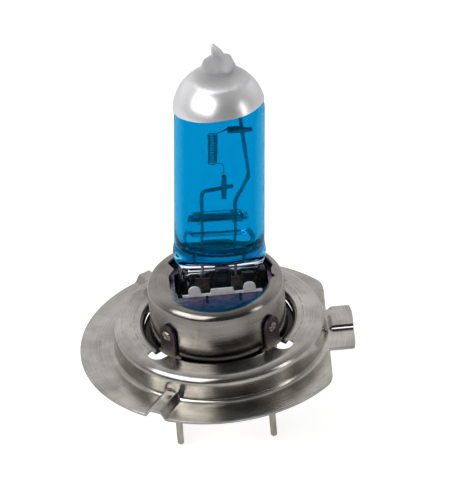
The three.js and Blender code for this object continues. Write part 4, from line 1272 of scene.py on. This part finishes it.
def insulator_surface():
    """A chamfered disc that steps down to a square-shouldered stem; every loop is a squared loop."""
    stem = lambda z, inset, power: (z, STEM_HALF_X - inset, STEM_HALF_Y - inset, power, STEM_X)
    disc = lambda z, inset: (z, DISC_RADIUS - inset, DISC_RADIUS - inset, 2, 0)
    rows = [stem(STEM_LOW, 0.25, 5), stem(STEM_LOW + 0.05, 0.09, 5.5), stem(STEM_LOW + 0.2, 0, 6),
            stem(DISC_LOW - 0.15, 0, 6), stem(DISC_LOW, 0, 6), disc(DISC_LOW + 0.001, 0.3),
            disc(DISC_LOW + 0.08, 0.1), disc(DISC_LOW + 0.3, 0), disc(DISC_TOP - 0.3, 0),
            disc(DISC_TOP - 0.08, 0.1), disc(DISC_TOP, 0.3)]
    heights, half_x, half_y, power, middle = np.array(rows).T
    return with_poles(loft(heights, half_x, half_y, power, middle, 128))


def insulator_cutters():
    """The pocket for the pinch, deeper between the blades, and an open-sided channel for each blade."""
    reach = BLADE_SPACING / 2 - BLADE_THICK + TANG_INSET
    cuts = [(box_outline(BLADE_X - reach, BLADE_X + reach, -2.4, 3.1, 0.3), -0.6, 1.25),
            (box_outline(-5.4, 6.3, -2.4, 3.1, 0.5), 1.2, 6.0)]
    for side in (-1, 1):
        x = BLADE_X + side * BLADE_SPACING / 2
        low, high = sorted((x - side * 0.45, x + side * 1.45))
        cuts += [(box_outline(low, high, -3.2, 3.2, 0.1), -7.0, 0.1),
                 (box_outline(x - 0.45, x + 0.45, -1.35, 1.35, 0.1), 0.0, 1.24)]
    return [(prism_grid(outline, base, top), False, True, 0, False) for outline, base, top in cuts]


insulator = make_piece("ceramic_insulator", one_skin(insulator_surface()), [ceramic])
cut_away(insulator, insulator_cutters())
settle(insulator, "ceramic", "insulator")


# %% Blades and outer leads
def blade_surface(x):
    """Strip loops up the blade: a bevelled tip, the full blade, the tang and its narrow tail."""
    rows = np.array([
        # height, half width, half thickness
        (BLADE_LOW, 2.1, 0.17), (BLADE_LOW + 0.05, 2.2, 0.22), (BLADE_LOW + 0.55, 2.72, 0.35),
        (BLADE_LOW + 1.0, BLADE_HALF, BLADE_THICK), (BLADE_SHOULDER, BLADE_HALF, BLADE_THICK),
        (BLADE_SHOULDER + 0.01, BLADE_HALF - TANG_INSET, BLADE_THICK - TANG_INSET),
        (BLADE_REST, BLADE_HALF - TANG_INSET, BLADE_THICK - TANG_INSET),
        (BLADE_REST + 0.01, 1.2, BLADE_THICK - TANG_INSET), (BLADE_TOP - 0.1, 1.2, BLADE_THICK - TANG_INSET),
        (BLADE_TOP, 1.1, BLADE_THICK - TANG_INSET - 0.08)])
    across, through = rounded_band(rows[:, 1], rows[:, 2], 0.1, 8)
    return with_poles(np.stack([x + through, across, rows[:, :1] + 0 * across], axis=-1))


for name, x in (("left", BLADE_X - BLADE_SPACING / 2), ("right", BLADE_X + BLADE_SPACING / 2)):
    blade = make_piece(f"blade_{name}", one_skin(blade_surface(x)), [tinned_brass], sharp_deg=30)
    settle(blade, "tinned_brass", f"terminal_{name}")
for name, x, out in (("long", LONG_X, 4.55), ("short", SHORT_X, -5.0)):
    path = bent_wire([(x, 0, FOIL_LOW - 0.15), (x, 0, 1.2), (out, -0.35, 0.35)], 0.6, 10)
    outer = make_piece(f"{name}_outer_lead_wire", one_skin(swept(path, 0.25)), [tinned_brass], in_capsule, 60)
    settle(outer, "tinned_brass", f"{name}_outer_lead")
